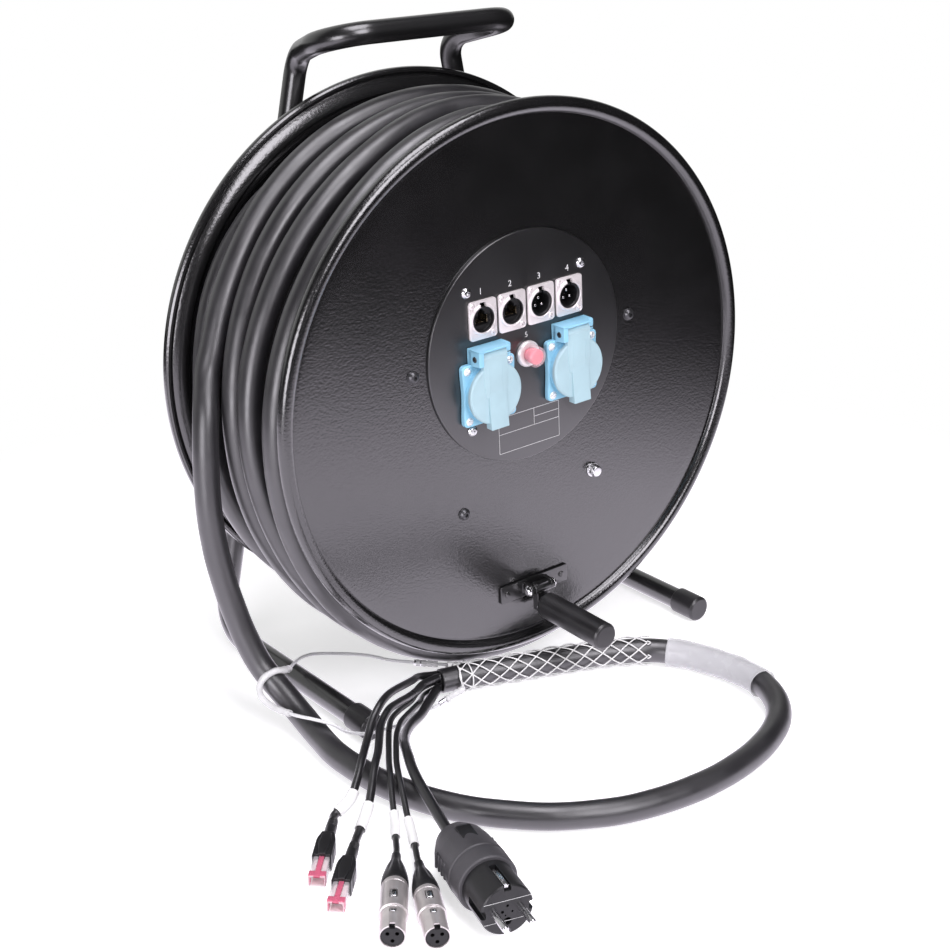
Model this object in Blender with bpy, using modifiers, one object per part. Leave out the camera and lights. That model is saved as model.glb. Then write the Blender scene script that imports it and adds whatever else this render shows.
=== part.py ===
"""A portable drum of hybrid cable: a steel drum on a bent tube frame, with a
socket panel, a folding crank, an outer layer of wound cable, and the cable's
free end in five tails with their connectors.

Frame: +X to the right seen from the panel side, -Y out of the panel, +Z up.
The origin is on the ground under the middle of the drum and frame.
"""
import bmesh
import bpy
from math import acos, atan2, cos, hypot, pi, radians, sin, sqrt, tan
from mathutils import Matrix, Vector

MM = 0.001

# Driving dimensions, millimetres unless a name says otherwise
AXLE_Z = 248.0            # height of the axle over the ground
DRUM_Y = 27.0             # the drum's mid plane, from the origin
DRUM_TURN = radians(2.8)  # how far the drum has been turned on its axle
FLANGE_R = 225.0          # over the rolled bead
BEAD_R = 6.0
FACE_Y = 87.0             # flange face from the mid plane
SHEET = 2.0
GAP = 0.3
OPENING_R = 70.5          # hole in the front flange behind the panel
PANEL_W = 33.6            # panel centre over the axle
PANEL_R = 93.0
PANEL_FRONT = 89.4
HUB_R = 119.4
HUB_WALL = 2.4
BOLT_CIRCLE = HUB_R - HUB_WALL - 5.5
TUBE_R = 9.0              # frame tube
AXLE_R = 10.0
CABLE_R = 10.0
SOCKET_X = 41.0
SOCKET_W = 9.0
CRANK_W = 52.6 - FLANGE_R  # crank pin under the axle
CRANK_DROP = 13.3         # knob axis under the pin
KNOB_R = 11.0


for old in list(bpy.data.objects):
    bpy.data.objects.remove(old, do_unlink=True)

PARTS = bpy.data.collections.new("hybrid_cable_drum")
CUTTERS = bpy.data.collections.new("cutters")
bpy.context.scene.collection.children.link(PARTS)
bpy.context.scene.collection.children.link(CUTTERS)


def material(name, colour, rough, metal=0.0, alpha=1.0):
    mat = bpy.data.materials.new(name)
    mat.use_nodes = True
    bsdf = mat.node_tree.nodes["Principled BSDF"]
    bsdf.inputs["Base Color"].default_value = (*colour, 1.0)
    bsdf.inputs["Roughness"].default_value = rough
    bsdf.inputs["Metallic"].default_value = metal
    bsdf.inputs["Alpha"].default_value = alpha
    mat.diffuse_color = (*colour, alpha)
    return mat


BLACK_PAINT = material("black_paint", (0.012, 0.012, 0.014), 0.42)
STEEL = material("zinc_steel", (0.62, 0.62, 0.64), 0.35, 1.0)
NICKEL = material("nickel", (0.66, 0.64, 0.60), 0.28, 1.0)
JACKET = material("cable_jacket", (0.035, 0.035, 0.040), 0.55)
BLACK_PLASTIC = material("black_plastic", (0.02, 0.02, 0.022), 0.45)
BLUE_PLASTIC = material("blue_plastic", (0.28, 0.60, 0.78), 0.40)
RED_PLASTIC = material("red_plastic", (0.75, 0.12, 0.15), 0.30)
WHITE_PLASTIC = material("white_sleeve", (0.85, 0.85, 0.85), 0.50)
CLEAR_PLASTIC = material("clear_sleeve", (0.80, 0.82, 0.85), 0.20, 0.0, 0.4)
WIRE = material("wire_grip", (0.80, 0.80, 0.80), 0.35)
RUBBER = material("rubber", (0.025, 0.025, 0.027), 0.60)


def empty(name, place, turn=(0.0, 0.0, 0.0), parent=None):
    pivot = bpy.data.objects.new(name, None)
    PARTS.objects.link(pivot)
    pivot.location = [c * MM for c in place]
    pivot.rotation_euler = turn
    pivot.parent = parent
    return pivot


# The ground frame has the drum's mid plane at Y = DRUM_Y. The drum frame lies
# on the axle and is turned with the drum.
GROUND = empty("ground", (0, DRUM_Y, 0))
DRUM = empty("drum_axis", (0, 0, AXLE_Z), (0, -DRUM_TURN, 0), GROUND)


def finish(obj, name, mat, parent, place=(0, 0, 0), turn=(0, 0, 0)):
    obj.name = name
    obj.data.name = name
    obj.data.materials.clear()
    obj.data.materials.append(mat)
    obj.parent = parent
    obj.location = [c * MM for c in place]
    obj.rotation_euler = turn
    for home in list(obj.users_collection):
        home.objects.unlink(obj)
    PARTS.objects.link(obj)
    return obj


def smooth(obj, angle=35):
    obj.data.shade_smooth()
    obj.data.set_sharp_from_angle(angle=radians(angle))
    return obj


def helper(obj):
    """A cutter or a piece to be joined: left out of the model itself."""
    for home in list(obj.users_collection):
        home.objects.unlink(obj)
    CUTTERS.objects.link(obj)
    obj.hide_render = True
    obj.display_type = "WIRE"
    return obj


def box(size, place=(0, 0, 0), parent=None, bevel=0.0, edges=None):
    bpy.ops.mesh.primitive_cube_add(size=1.0)
    obj = bpy.context.object
    obj.data.transform(Matrix.Diagonal([s * MM for s in size] + [1.0]))
    obj.location = [c * MM for c in place]
    obj.parent = parent
    if bevel:
        round_edges(obj, bevel, edges)
    return obj


def round_edges(obj, width, axis=None, segments=2):
    """Bevels all edges, or only those that run along one axis of the box."""
    if axis is not None:
        weights = obj.data.attributes.new("bevel_weight_edge", "FLOAT", "EDGE")
        for edge in obj.data.edges:
            a, b = (obj.data.vertices[i].co for i in edge.vertices)
            along = max(range(3), key=lambda k: abs((a - b)[k]))
            weights.data[edge.index].value = 1.0 if along == axis else 0.0
    mod = obj.modifiers.new("round", "BEVEL")
    mod.width = width * MM
    mod.segments = segments
    mod.limit_method = "WEIGHT" if axis is not None else "ANGLE"
    return obj


# Cylinder axes: the turns that point a +Z cylinder along another axis
ALONG_X = (0, pi / 2, 0)
ALONG_Y = (-pi / 2, 0, 0)
ALONG_Z = (0, 0, 0)


def cylinder(radius, length, place, turn=ALONG_Y, parent=None, sides=24):
    bpy.ops.mesh.primitive_cylinder_add(
        vertices=sides, radius=radius * MM, depth=length * MM, end_fill_type="NGON"
    )
    obj = bpy.context.object
    obj.location = [c * MM for c in place]
    obj.rotation_euler = turn
    obj.parent = parent
    return obj


def merge(objs):
    """One helper mesh of several that don't touch."""
    bpy.ops.object.select_all(action="DESELECT")
    for obj in objs:
        obj.select_set(True)
    bpy.context.view_layer.objects.active = objs[0]
    bpy.ops.object.join()
    return objs[0]


def boolean(obj, tool, kind):
    mod = obj.modifiers.new(kind.lower(), "BOOLEAN")
    mod.operation = kind
    mod.object = helper(tool)
    mod.solver = "EXACT"
    return obj


def cut(obj, tool):
    return boolean(obj, tool, "DIFFERENCE")


def join(obj, tool):
    return boolean(obj, tool, "UNION")


def turned(profile, steps=32, closed=False):
    """A profile of (radius, height) turned about Z. It runs down the outer side."""
    mesh = bpy.data.meshes.new("profile")
    count = len(profile)
    edges = [(i, i + 1) for i in range(count - 1)]
    if closed:
        edges.append((count - 1, 0))
    mesh.from_pydata([(r * MM, 0.0, h * MM) for r, h in profile], edges, [])
    obj = bpy.data.objects.new("turned", mesh)
    PARTS.objects.link(obj)
    mod = obj.modifiers.new("turn", "SCREW")
    mod.axis = "Z"
    mod.angle = 2 * pi
    mod.steps = mod.render_steps = steps
    mod.use_merge_vertices = True
    mod.merge_threshold = 0.00001
    mod.use_smooth_shade = True
    return obj


def curve_tube(points, radius, sides_level=2, caps=True):
    """A round tube along points in millimetres, as a POLY curve."""
    data = bpy.data.curves.new("tube", "CURVE")
    data.dimensions = "3D"
    data.bevel_depth = radius * MM
    data.bevel_resolution = sides_level
    data.use_fill_caps = caps
    spline = data.splines.new("POLY")
    spline.points.add(len(points) - 1)
    for spot, point in zip(spline.points, points):
        spot.co = (*[c * MM for c in point], 1.0)
    obj = bpy.data.objects.new("tube", data)
    PARTS.objects.link(obj)
    return obj


def as_mesh(curve_object):
    graph = bpy.context.evaluated_depsgraph_get()
    mesh = bpy.data.meshes.new_from_object(curve_object.evaluated_get(graph))
    bm = bmesh.new()
    bm.from_mesh(mesh)
    bmesh.ops.remove_doubles(bm, verts=bm.verts, dist=0.000005)
    bm.to_mesh(mesh)
    bm.free()
    obj = bpy.data.objects.new("tube_mesh", mesh)
    PARTS.objects.link(obj)
    obj.matrix_world = curve_object.matrix_world
    bpy.data.objects.remove(curve_object, do_unlink=True)
    return obj


def sleeve_tube(points, inner, wall, sides_level=2):
    """An open round tube of a given wall, for a sleeve round a cable."""
    obj = as_mesh(curve_tube(points, inner, sides_level, caps=False))
    mod = obj.modifiers.new("wall", "SOLIDIFY")
    mod.thickness = wall * MM
    mod.offset = 1.0
    mod.use_even_offset = True
    return obj


def bent(points, radii, steps=6):
    """Straight runs with round bends: the way of a bent tube."""
    way = [Vector(points[0])]
    for k, radius in enumerate(radii, 1):
        a, b, c = (Vector(points[k + d]) for d in (-1, 0, 1))
        back, ahead = (a - b).normalized(), (c - b).normalized()
        half = acos(max(-1.0, min(1.0, back.dot(ahead)))) / 2
        reach = radius / tan(half)
        centre = b + (back + ahead).normalized() * (radius / sin(half))
        first = b + back * reach - centre
        last = b + ahead * reach - centre
        sweep = pi - 2 * half
        for n in range(steps + 1):
            f = n / steps
            way.append(
                centre
                + (first * sin((1 - f) * sweep) + last * sin(f * sweep)) / sin(sweep)
            )
    way.append(Vector(points[-1]))
    return way


def smooth_way(points, fine=16):
    """A dense smooth curve through the route's own points."""
    p = [Vector(q) for q in points]
    p = [2 * p[0] - p[1]] + p + [2 * p[-1] - p[-2]]
    way = []
    for a, b, c, d in zip(p, p[1:], p[2:], p[3:]):
        for n in range(fine):
            t = n / fine
            way.append(
                0.5
                * (
                    2 * b
                    + (c - a) * t
                    + (2 * a - 5 * b + 4 * c - d) * t * t
                    + (3 * b - a - 3 * c + d) * t**3
                )
            )
    way.append(p[-2])
    return way


def even(way, step):
    """Points at even steps along a dense way, ends kept."""
    run = [0.0]
    for a, b in zip(way, way[1:]):
        run.append(run[-1] + (b - a).length)
    count = max(2, round(run[-1] / step))
    out, k = [], 0
    for n in range(count + 1):
        s = run[-1] * n / count
        while k < len(way) - 2 and run[k + 1] < s:
            k += 1
        f = (s - run[k]) / max(run[k + 1] - run[k], 1e-9)
        out.append(way[k].lerp(way[k + 1], min(1.0, max(0.0, f))))
    return out


def part_of(points, start, end):
    """The stretch of a polyline between two distances along it."""
    out, run = [], 0.0
    for a, b in zip(points, points[1:]):
        length = (b - a).length
        for s in (start, end):
            if run <= s < run + length:
                out.append(a.lerp(b, (s - run) / length))
        if start < run + length < end:
            out.append(b.copy())
        run += length
    return out


def length_of(points):
    return sum((b - a).length for a, b in zip(points, points[1:]))


def least_gap(points, radius, step=6.0, apart=200.0):
    """The least gap of a wound tube to itself, on points a set way apart."""
    spots = even(points, step)
    skip = round(apart / step)
    near = min(
        (a - b).length for n, a in enumerate(spots) for b in spots[n + skip :]
    )
    return near - 2 * radius


def aim(obj, start, direction, name, mat):
    """Lays a piece made along +Z so that +Z points in a direction."""
    finish(obj, name, mat, GROUND, start)
    obj.rotation_mode = "QUATERNION"
    obj.rotation_quaternion = Vector((0, 0, 1)).rotation_difference(
        Vector(direction).normalized()
    )
    return obj


# Frame

LEG_X = 170.0


def frame_way():
    right = [
        (LEG_X + 6, -107.0, 10.8),
        (LEG_X + 1, 115.6, 9.1),
        (73.6, 115.6, 487.2),
        (96.0, 36.0, 511.3),
    ]
    left = [
        (-96.0, 36.0, 511.3),
        (-73.6, 115.6, 487.2),
        (-LEG_X - 1, 115.6, 9.1),
        (-LEG_X + 3, -107.0, 10.8),
    ]
    return bent(right + left, [34.0, 23.1, 30.6, 30.6, 23.1, 34.0])


def build_frame():
    finish(
        curve_tube(frame_way(), TUBE_R, 4), "frame_tube", BLACK_PAINT, GROUND
    )
    for side, x in (("right", LEG_X + 6.0), ("left", -LEG_X + 3.0)):
        cap = turned(
            [(0, 4), (9.5, 4), (9.5, 26), (11, 26), (11, 2), (9.4, 0), (0, 0)], 24
        )
        yaw = atan2(5.0 if x > 0 else 4.0, 222.6)
        finish(cap, f"foot_cap_{side}", RUBBER, GROUND, (x, -111.3, 10.8), (-pi / 2, 0, yaw))
        cut(cap, box((40, 60, 10), (x, -100, -5), GROUND))
        smooth(cap)
    plate = box((238, 6, 60), (0, 0, 0), None, 8, 1)
    finish(plate, "bearing_plate", BLACK_PAINT, GROUND, (0, 103.2, AXLE_Z))
    cut(plate, cylinder(AXLE_R + GAP, 20, (0, 103.2, AXLE_Z), parent=GROUND))
    axle = turned(
        [
            (0, 113), (16, 113), (16, 106.5), (AXLE_R, 106.5),
            (AXLE_R, -30.4), (15, -30.4), (15, -36), (0, -36),
        ],
        24,
    )
    finish(axle, "axle_shaft", STEEL, GROUND, (0, 0, AXLE_Z), ALONG_Y)
    smooth(axle)
    washer = turned(
        [(18, 99.9), (18, 92.4), (AXLE_R + GAP, 92.4), (AXLE_R + GAP, 99.9)], 24, True
    )
    finish(washer, "thrust_washer", STEEL, GROUND, (0, 0, AXLE_Z), ALONG_Y)
    smooth(washer)


# Drum

BOLT_ANGLES = [90, 162, 234, 306, 18]


def flange_profile(inner, side):
    """Sheet with a rolled bead: side is +1 at the back, -1 at the front."""
    bead = FLANGE_R - BEAD_R
    mid = side * (FACE_Y - SHEET / 2)
    lo, hi = mid - SHEET / 2, mid + SHEET / 2
    half = radians(170)
    arc = [
        (bead + BEAD_R * cos(half * (1 - 2 * n / 7)), mid + BEAD_R * sin(half * (1 - 2 * n / 7)))
        for n in range(8)
    ]
    return [(inner, hi)] + arc + [(inner, lo)]


def build_flange(name, side, inner):
    flange = turned(flange_profile(inner, side), 44, True)
    finish(flange, name, BLACK_PAINT, DRUM, (0, 0, 0), ALONG_Y)
    tools = [
        cylinder(
            3.5, 12,
            (BOLT_CIRCLE * cos(radians(a)), side * 86, BOLT_CIRCLE * sin(radians(a))),
            parent=DRUM, sides=8,
        )
        for a in BOLT_ANGLES
    ]
    cut(flange, merge(tools))
    smooth(flange)
    return flange


def build_front_flange():
    """The front flange is a whole sheet, then opened behind the panel."""
    bead = flange_profile(0.0, -1)
    flange = turned(bead, 44)
    finish(flange, "front_flange", BLACK_PAINT, DRUM, (0, 0, 0), ALONG_Y)
    cut(flange, cylinder(OPENING_R, 12, (0, -86, PANEL_W), parent=DRUM, sides=40))
    tools = [
        cylinder(
            3.5, 12,
            (BOLT_CIRCLE * cos(radians(a)), -86, BOLT_CIRCLE * sin(radians(a))),
            parent=DRUM, sides=8,
        )
        for a in BOLT_ANGLES
    ]
    cut(flange, merge(tools))
    smooth(flange)


def build_drum():
    build_front_flange()
    build_flange("back_flange", 1, 17.0)
    hub = turned(
        [(HUB_R, 84.7), (HUB_R, -84.7), (HUB_R - HUB_WALL, -84.7), (HUB_R - HUB_WALL, 84.7)],
        40, True,
    )
    smooth(finish(hub, "hub_tube", BLACK_PAINT, DRUM, (0, 0, 0), ALONG_Y))
    bearing = turned(
        [
            (16.5, 92), (16.5, 84.7), (40, 84.7), (40, 80.7), (16.5, 80.7),
            (16.5, -30), (AXLE_R + GAP, -30), (AXLE_R + GAP, 92),
        ],
        20, True,
    )
    smooth(finish(bearing, "bearing_tube", STEEL, DRUM, (0, 0, 0), ALONG_Y))
    for n, angle in enumerate(BOLT_ANGLES, 1):
        head = FACE_Y + GAP
        profile = [(0, head + 4), (5, head + 4), (5, head), (3, head)]
        if angle == 90:
            profile += [(3, -86.8), (0, -86.8)]
        elif angle == 306:
            profile += [(3, -head), (6, -head), (6, -head - 7), (0, -head - 7)]
        else:
            profile += [(3, -head), (5, -head), (4.6, -head - 3.4), (0, -head - 3.4)]
        bolt = turned(profile, 12)
        x, w = BOLT_CIRCLE * cos(radians(angle)), BOLT_CIRCLE * sin(radians(angle))
        smooth(finish(bolt, f"tie_bolt_{n}", STEEL, DRUM, (x, 0, w), ALONG_Y))


# Winding

CORE_R = 184.5
CORE_SAG = 12.5

# One row is an angle run since the cable's inner end, from +X over the top, how
# far the outer layer's middle lies over the core's radius, and its place along
# Y. The cable hangs a little under the drum, so it lies closer to the axle at the
# top than at the bottom, and it slants to and fro.
WINDING_ROUTE = [
    (20, 8.1, -14), (45, 3.9, -21.5), (60, 4.3, -31), (75, 11.5, -37.5), (90, 18.5, -42.5),
    (135, 22, -58), (180, 31.5, -68), (225, 39.5, -69.8), (270, 42.8, -70.5),
    (315, 39.5, -62), (360, 31.5, -46), (405, 25.3, -24), (450, 19, 0), (480, 20, -16),
    (507, 24.5, -24), (540, 31.5, -32), (567, 37, -43), (585, 40.5, -46), (630, 44.5, -43),
    (675, 40.5, -30), (720, 31.5, -10), (765, 22.5, 10), (810, 19, 21.5), (840, 20, 15),
    (867, 24.5, 6), (900, 31.5, -9.5), (920, 36, -15), (945, 40.5, -18), (990, 44.5, -14),
    (1035, 40.5, 0), (1080, 27.5, 15), (1110, 13.5, 26), (1140, 3.5, 34), (1170, 0.3, 40),
    (1186, 0.4, 46.5), (1198, 2.5, 58.5), (1212, 11.5, 62), (1227, 18, 60.5),
    (1260, 22, 53), (1305, 32.5, 52), (1350, 37.5, 54), (1395, 34.5, 56), (1440, 28.5, 57),
    (1485, 23.5, 52), (1530, 21.3, 44), (1545, 21.9, 44), (1558, 22.1, 44.5),
    (1576, 25, 39.5), (1590, 29.5, 30), (1600, 34, 23),
]
WINDING_END = 1608.0
WINDING_END_RISE = 38.0
WINDING_END_Y = 17.5


def on_drum(angle, radius, y):
    a = radians(angle)
    return Vector((radius * cos(a), y, AXLE_Z + radius * sin(a)))


def winding_way():
    """The route's rows joined by a smooth rule in the angle, a point each 15 degrees."""
    rows = WINDING_ROUTE + [(WINDING_END, WINDING_END_RISE, WINDING_END_Y)]

    def slope(k, c):
        if k in (0, len(rows) - 1):
            j = 1 if k == 0 else k
            return (rows[j][c] - rows[j - 1][c]) / (rows[j][0] - rows[j - 1][0])
        left = (rows[k][c] - rows[k - 1][c]) / (rows[k][0] - rows[k - 1][0])
        right = (rows[k + 1][c] - rows[k][c]) / (rows[k + 1][0] - rows[k][0])
        a, b = rows[k][0] - rows[k - 1][0], rows[k + 1][0] - rows[k][0]
        return (left * b + right * a) / (a + b)

    def value(angle, c):
        k = 0
        while k < len(rows) - 2 and rows[k + 1][0] < angle:
            k += 1
        h = rows[k + 1][0] - rows[k][0]
        t = (angle - rows[k][0]) / h
        return (
            (1 + 2 * t) * (1 - t) ** 2 * rows[k][c]
            + t * (1 - t) ** 2 * h * slope(k, c)
            + t * t * (3 - 2 * t) * rows[k + 1][c]
            + t * t * (t - 1) * h * slope(k + 1, c)
        )

    start = rows[0][0]
    count = round((WINDING_END - 6 - start) / 15)
    angles = [start + (WINDING_END - 6 - start) * n / count for n in range(count + 1)]
    way = [on_drum(a, CORE_R + value(a, 1), value(a, 2)) for a in angles]
    way.append(on_drum(WINDING_END, CORE_R + WINDING_END_RISE, WINDING_END_Y))
    return way


def build_winding():
    core = cylinder(CORE_R, 2 * (FACE_Y - 7), (0, 0, 0), sides=48)
    finish(core, "winding_core", JACKET, GROUND, (0, 0, AXLE_Z - CORE_SAG), ALONG_Y)
    cut(core, cylinder(HUB_R + 0.9, 200, (0, 0, AXLE_Z), parent=GROUND, sides=40))
    smooth(core)
    way = winding_way()
    finish(curve_tube(way, CABLE_R, 1), "cable_winding", JACKET, GROUND)
    return way


# Socket panel, in the drum's frame: x across, w over the axle


def build_panel():
    disc = cylinder(PANEL_R, PANEL_FRONT - FACE_Y - GAP, (0, 0, 0), sides=44)
    mid = -(PANEL_FRONT + FACE_Y + GAP) / 2
    finish(disc, "panel_disc", BLACK_PAINT, DRUM, (0, mid, PANEL_W), ALONG_Y)
    tools = [
        cylinder(12.2, 10, (x, mid, 66), parent=DRUM, sides=18)
        for x in (-42, -14, 14, 42)
    ]
    tools += [
        cylinder(21.5, 10, (x, mid, SOCKET_W), parent=DRUM, sides=24)
        for x in (-SOCKET_X, SOCKET_X)
    ]
    tools.append(cylinder(7.6, 10, (0, mid, 28), parent=DRUM, sides=20))
    cut(disc, merge(tools))
    heads = [
        cylinder(4.2, 3.0, (x, -PANEL_FRONT - 0.3, PANEL_W + w), parent=DRUM, sides=10)
        for x in (-55.5, 55.5)
        for w in (-55.5, 55.5)
    ]
    join(disc, merge(heads))
    smooth(disc)

    for n, x in enumerate((-42, -14, 14, 42), 1):
        name = f"data_socket_{n}" if n < 3 else f"audio_socket_{n}"
        front = -PANEL_FRONT - GAP
        plate = box((26, 2, 31), (0, 0, 0), None, 2.5, 1)
        finish(plate, name, NICKEL, DRUM, (x, front - 1, 66))
        join(plate, cylinder(11.8, 22, (x, front + 10, 66), parent=DRUM, sides=18))
        join(plate, cylinder(11.0, 4, (x, front - 1.2, 66), parent=DRUM, sides=18))
        well = cylinder(8.2, 19, (x, front + 3.5, 66), parent=DRUM, sides=16)
        if n < 3:
            bpy.data.objects.remove(well, do_unlink=True)
            well = box((13.5, 19, 11.5), (x, front + 3.5, 66), DRUM)
        cut(plate, well)
        if n > 2:
            pins = [
                cylinder(1.2, 9.5, (x + 3.8 * cos(a), front + 9.2, 66 + 3.8 * sin(a)), parent=DRUM, sides=8)
                for a in (radians(-30), radians(90), radians(210))
            ]
            join(plate, merge(pins))
        smooth(plate)

    body = turned(
        [
            (0, -70), (7.2, -70), (7.2, -PANEL_FRONT - GAP),
            (10.5, -PANEL_FRONT - GAP), (10.5, -92.2), (9.6, -93.2),
            (5.4, -93.2), (5.4, -78), (0, -78),
        ],
        24,
    )
    smooth(finish(body, "breaker_body", BLACK_PLASTIC, DRUM, (0, 0, 28), ALONG_Y))
    pivot = empty("button_axis", (0, -96, 28), parent=DRUM)
    button = turned(
        [(0, 12), (5.0, 12), (5.0, -0.4), (8.4, -0.4), (8.4, -6.6), (6.8, -8.6), (0, -8.8)],
        24,
    )
    smooth(finish(button, "breaker_button", RED_PLASTIC, pivot, (0, 0, 0), ALONG_Y))


HINGE_Y = -99.8
HINGE_W = 39.5


def build_mains(side, x):
    front = -PANEL_FRONT - GAP
    base = box((50, 5, 50), (0, 0, 0), None, 3, 1)
    finish(base, f"mains_socket_{side}", BLUE_PLASTIC, DRUM, (x, front - 2.5, SOCKET_W))
    join(base, cylinder(21, 20, (x, front + 7.5, SOCKET_W), parent=DRUM, sides=24))
    join(base, cylinder(22.8, 5, (x, front - 5.9, SOCKET_W), parent=DRUM, sides=24))
    cut(base, cylinder(19.6, 30, (x, front - 0.5, SOCKET_W), parent=DRUM, sides=24))
    # Side ears and pin of the lid's hinge, over the top edge of the plate
    ears = [
        box((4.6, 13, 13.5), (x + s * 14.2, front - 9.5, 39.75), DRUM) for s in (-1, 1)
    ]
    join(base, merge(ears))
    join(base, box((33, 6, 13), (x, front - 3.0, 40), DRUM))
    cut(base, cylinder(5.2, 23.8, (x, HINGE_Y, HINGE_W), ALONG_X, DRUM, 20))
    join(base, cylinder(1.6, 26, (x, HINGE_Y, HINGE_W), ALONG_X, DRUM, 12))
    smooth(base)

    pivot = empty(f"lid_axis_{side}", (x, HINGE_Y, HINGE_W), parent=DRUM)
    drop = SOCKET_W - HINGE_W
    lid = cylinder(24.5, 4.4, (0, 0, 0), sides=28)
    finish(lid, f"socket_lid_{side}", BLUE_PLASTIC, pivot, (0, -1.4, drop), ALONG_Y)
    join(lid, box((22.8, 4.4, 34), (0, -1.4, -17.0), pivot))
    join(lid, cylinder(4.4, 22.8, (0, 0, 0), ALONG_X, pivot, 20))
    join(lid, box((17, 4.4, 8), (0, -1.4, drop - 23), pivot))
    cut(lid, cylinder(2.0, 40, (0, 0, 0), ALONG_X, pivot, 12))
    smooth(lid)


def build_crank():
    face = -FACE_Y - GAP
    bracket = box((69, 2, 15), (0, 0, 0), None)
    finish(bracket, "crank_bracket", BLACK_PAINT, DRUM, (0, face - 1, CRANK_W - 0.6))
    ears = [
        box((3, 13.5, 9.8), (s * 10, face - 7.6, CRANK_W), DRUM) for s in (-1, 1)
    ]
    join(bracket, merge(ears))
    cut(bracket, cylinder(2.8, 40, (0, -97, CRANK_W), ALONG_X, DRUM, 16))
    smooth(bracket)
    pin = turned(
        [
            (0, 15.2), (4.6, 15.2), (4.6, 11.9), (2.5, 11.9),
            (2.5, -11.9), (4.6, -11.9), (4.6, -15.2), (0, -15.2),
        ],
        16,
    )
    smooth(finish(pin, "crank_pin", STEEL, DRUM, (0, -97, CRANK_W), ALONG_X))

    pivot = empty("crank_axis", (0, -97, CRANK_W), parent=DRUM)
    arm = box((12, 7, 22), (0, 0, 0), None, 2, 0)
    finish(arm, "crank_arm", BLACK_PAINT, pivot, (0, -0.5, -8.5))
    join(arm, cylinder(5.0, 16.2, (0, 0, 0), ALONG_X, pivot, 20))
    join(arm, cylinder(4.0, 78, (0, -39.5, -CRANK_DROP), parent=pivot, sides=20))
    cut(arm, cylinder(2.8, 40, (0, 0, 0), ALONG_X, pivot, 16))
    smooth(arm)
    axis = empty("knob_axis", (0, 0, -CRANK_DROP), parent=pivot)
    knob = turned(
        [
            (0, -79.2), (4.4, -79.2), (4.4, -7), (9.4, -7), (KNOB_R, -9),
            (KNOB_R, -79.5), (9.2, -81.8), (0, -82),
        ],
        22,
    )
    smooth(finish(knob, "crank_knob", BLACK_PLASTIC, axis, (0, 0, 0), ALONG_Y))


# Free end of the cable, in the ground frame with Y from the drum's mid plane

CABLE_ROUTE = [
    (-236, 0, 248), (-239.8, -4, 225), (-242.5, -8, 183.3), (-239.5, -10, 143.4),
    (-232, -14, 102.2), (-222.8, -25, 62.3), (-216.8, -34, 45), (-211, -47, 32),
    (-207, -63, 21), (-206.5, -84, 13.8), (-209, -110, 11), (-210.5, -137, 10.5),
    (-204.5, -186.5, 10.5), (-185, -235, 10.5), (-162, -265, 10.5),
    (-134, -291, 10.5), (-84, -316, 10.5), (-18, -324, 10.5), (46, -313, 10.8),
    (96, -286, 12), (120, -244, 13), (117, -200, 13), (98, -157, 13),
    (66, -132.5, 13), (32, -119, 13), (-20, -101.5, 12.7), (-72, -84.8, 12.8),
    (-84, -83.4, 12.8),
]
DATA_TAIL_R = 3.1
AUDIO_TAIL_R = 2.3
POWER_TAIL_R = 4.0

# The tails leave the cable's end face side by side: the first pair of numbers
# is a tail's place on that face, across and up.
TAILS = {
    "data_tail_1": (DATA_TAIL_R, 17, (4.0, 4.6), [
        (-100.5, -79.5, 21), (-120, -93.5, 28.4),
        (-151.5, -113.3, 38), (-167.5, -124.4, 39.5), (-176.8, -129, 36.5),
        (-185.4, -136.7, 31.5), (-196.5, -147.5, 27.8), (-212.8, -165.3, 25.5),
        (-229, -181, 17.5), (-235.6, -186.8, 14), (-249, -190.3, 8.5),
        (-258, -196, 6.8),
    ]),
    "data_tail_2": (DATA_TAIL_R, 17, (-3.4, 5.8), [
        (-101, -87.6, 19.4), (-125, -104, 23.6),
        (-159.4, -124.6, 32.4), (-175.4, -135.4, 29.8), (-196.3, -162.1, 26.3),
        (-207.6, -175.0, 25.6), (-215.8, -184.8, 22.6), (-229.2, -199.8, 16),
        (-234.6, -205.4, 13.2), (-250, -219, 8.4), (-262, -230, 6.8),
    ]),
    "audio_tail_1": (AUDIO_TAIL_R, 15, (3.2, -1.8), [
        (-99, -84, 13.2), (-112, -92.3, 16.0),
        (-126, -103.4, 17.8),
        (-155.3, -123.8, 24.8), (-170.3, -138.2, 25), (-197.8, -178.2, 24),
        (-206.6, -192.9, 23.5), (-216.2, -208.4, 19), (-222.6, -220.0, 14.5),
        (-226.6, -227.5, 12.5), (-240, -248, 10.3), (-249, -262, 9.9),
    ]),
    "audio_tail_2": (AUDIO_TAIL_R, 15, (2.0, -7.0), [
        (-98.5, -84, 6.9), (-112, -96, 10.4),
        (-124, -108, 15.2), (-156.3, -133, 22.4), (-173, -151.6, 22),
        (-193.6, -182, 23.3), (-202.6, -198.4, 23.4), (-210.4, -214.4, 19.5),
        (-216.1, -226.0, 14.5), (-222, -238.7, 12), (-235, -265, 10.2),
        (-242.5, -279, 9.9),
    ]),
    "power_tail": (POWER_TAIL_R, 20, (-5.2, -3.6), [
        (-100, -94, 8.4), (-115, -106.2, 7.3),
        (-137, -119.5, 8.6), (-160.5, -143.5, 14.5), (-180.5, -178, 23.4),
        (-192, -200.8, 25.8), (-199.5, -221.5, 25.6), (-206.5, -247, 23),
        (-213.3, -269, 22), (-215.8, -279.6, 22),
    ]),
}


# Where the connectors' front faces lie
TAIL_ENDS = {
    "data_tail_1": (-307, -252), "data_tail_2": (-297.5, -268),
    "audio_tail_1": (-303.5, -337), "audio_tail_2": (-281, -355),
    "power_tail": (-238, -372),
}


def level_direction(a, b):
    return Vector((b[0] - a[0], b[1] - a[1], 0.0)).normalized()


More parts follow.
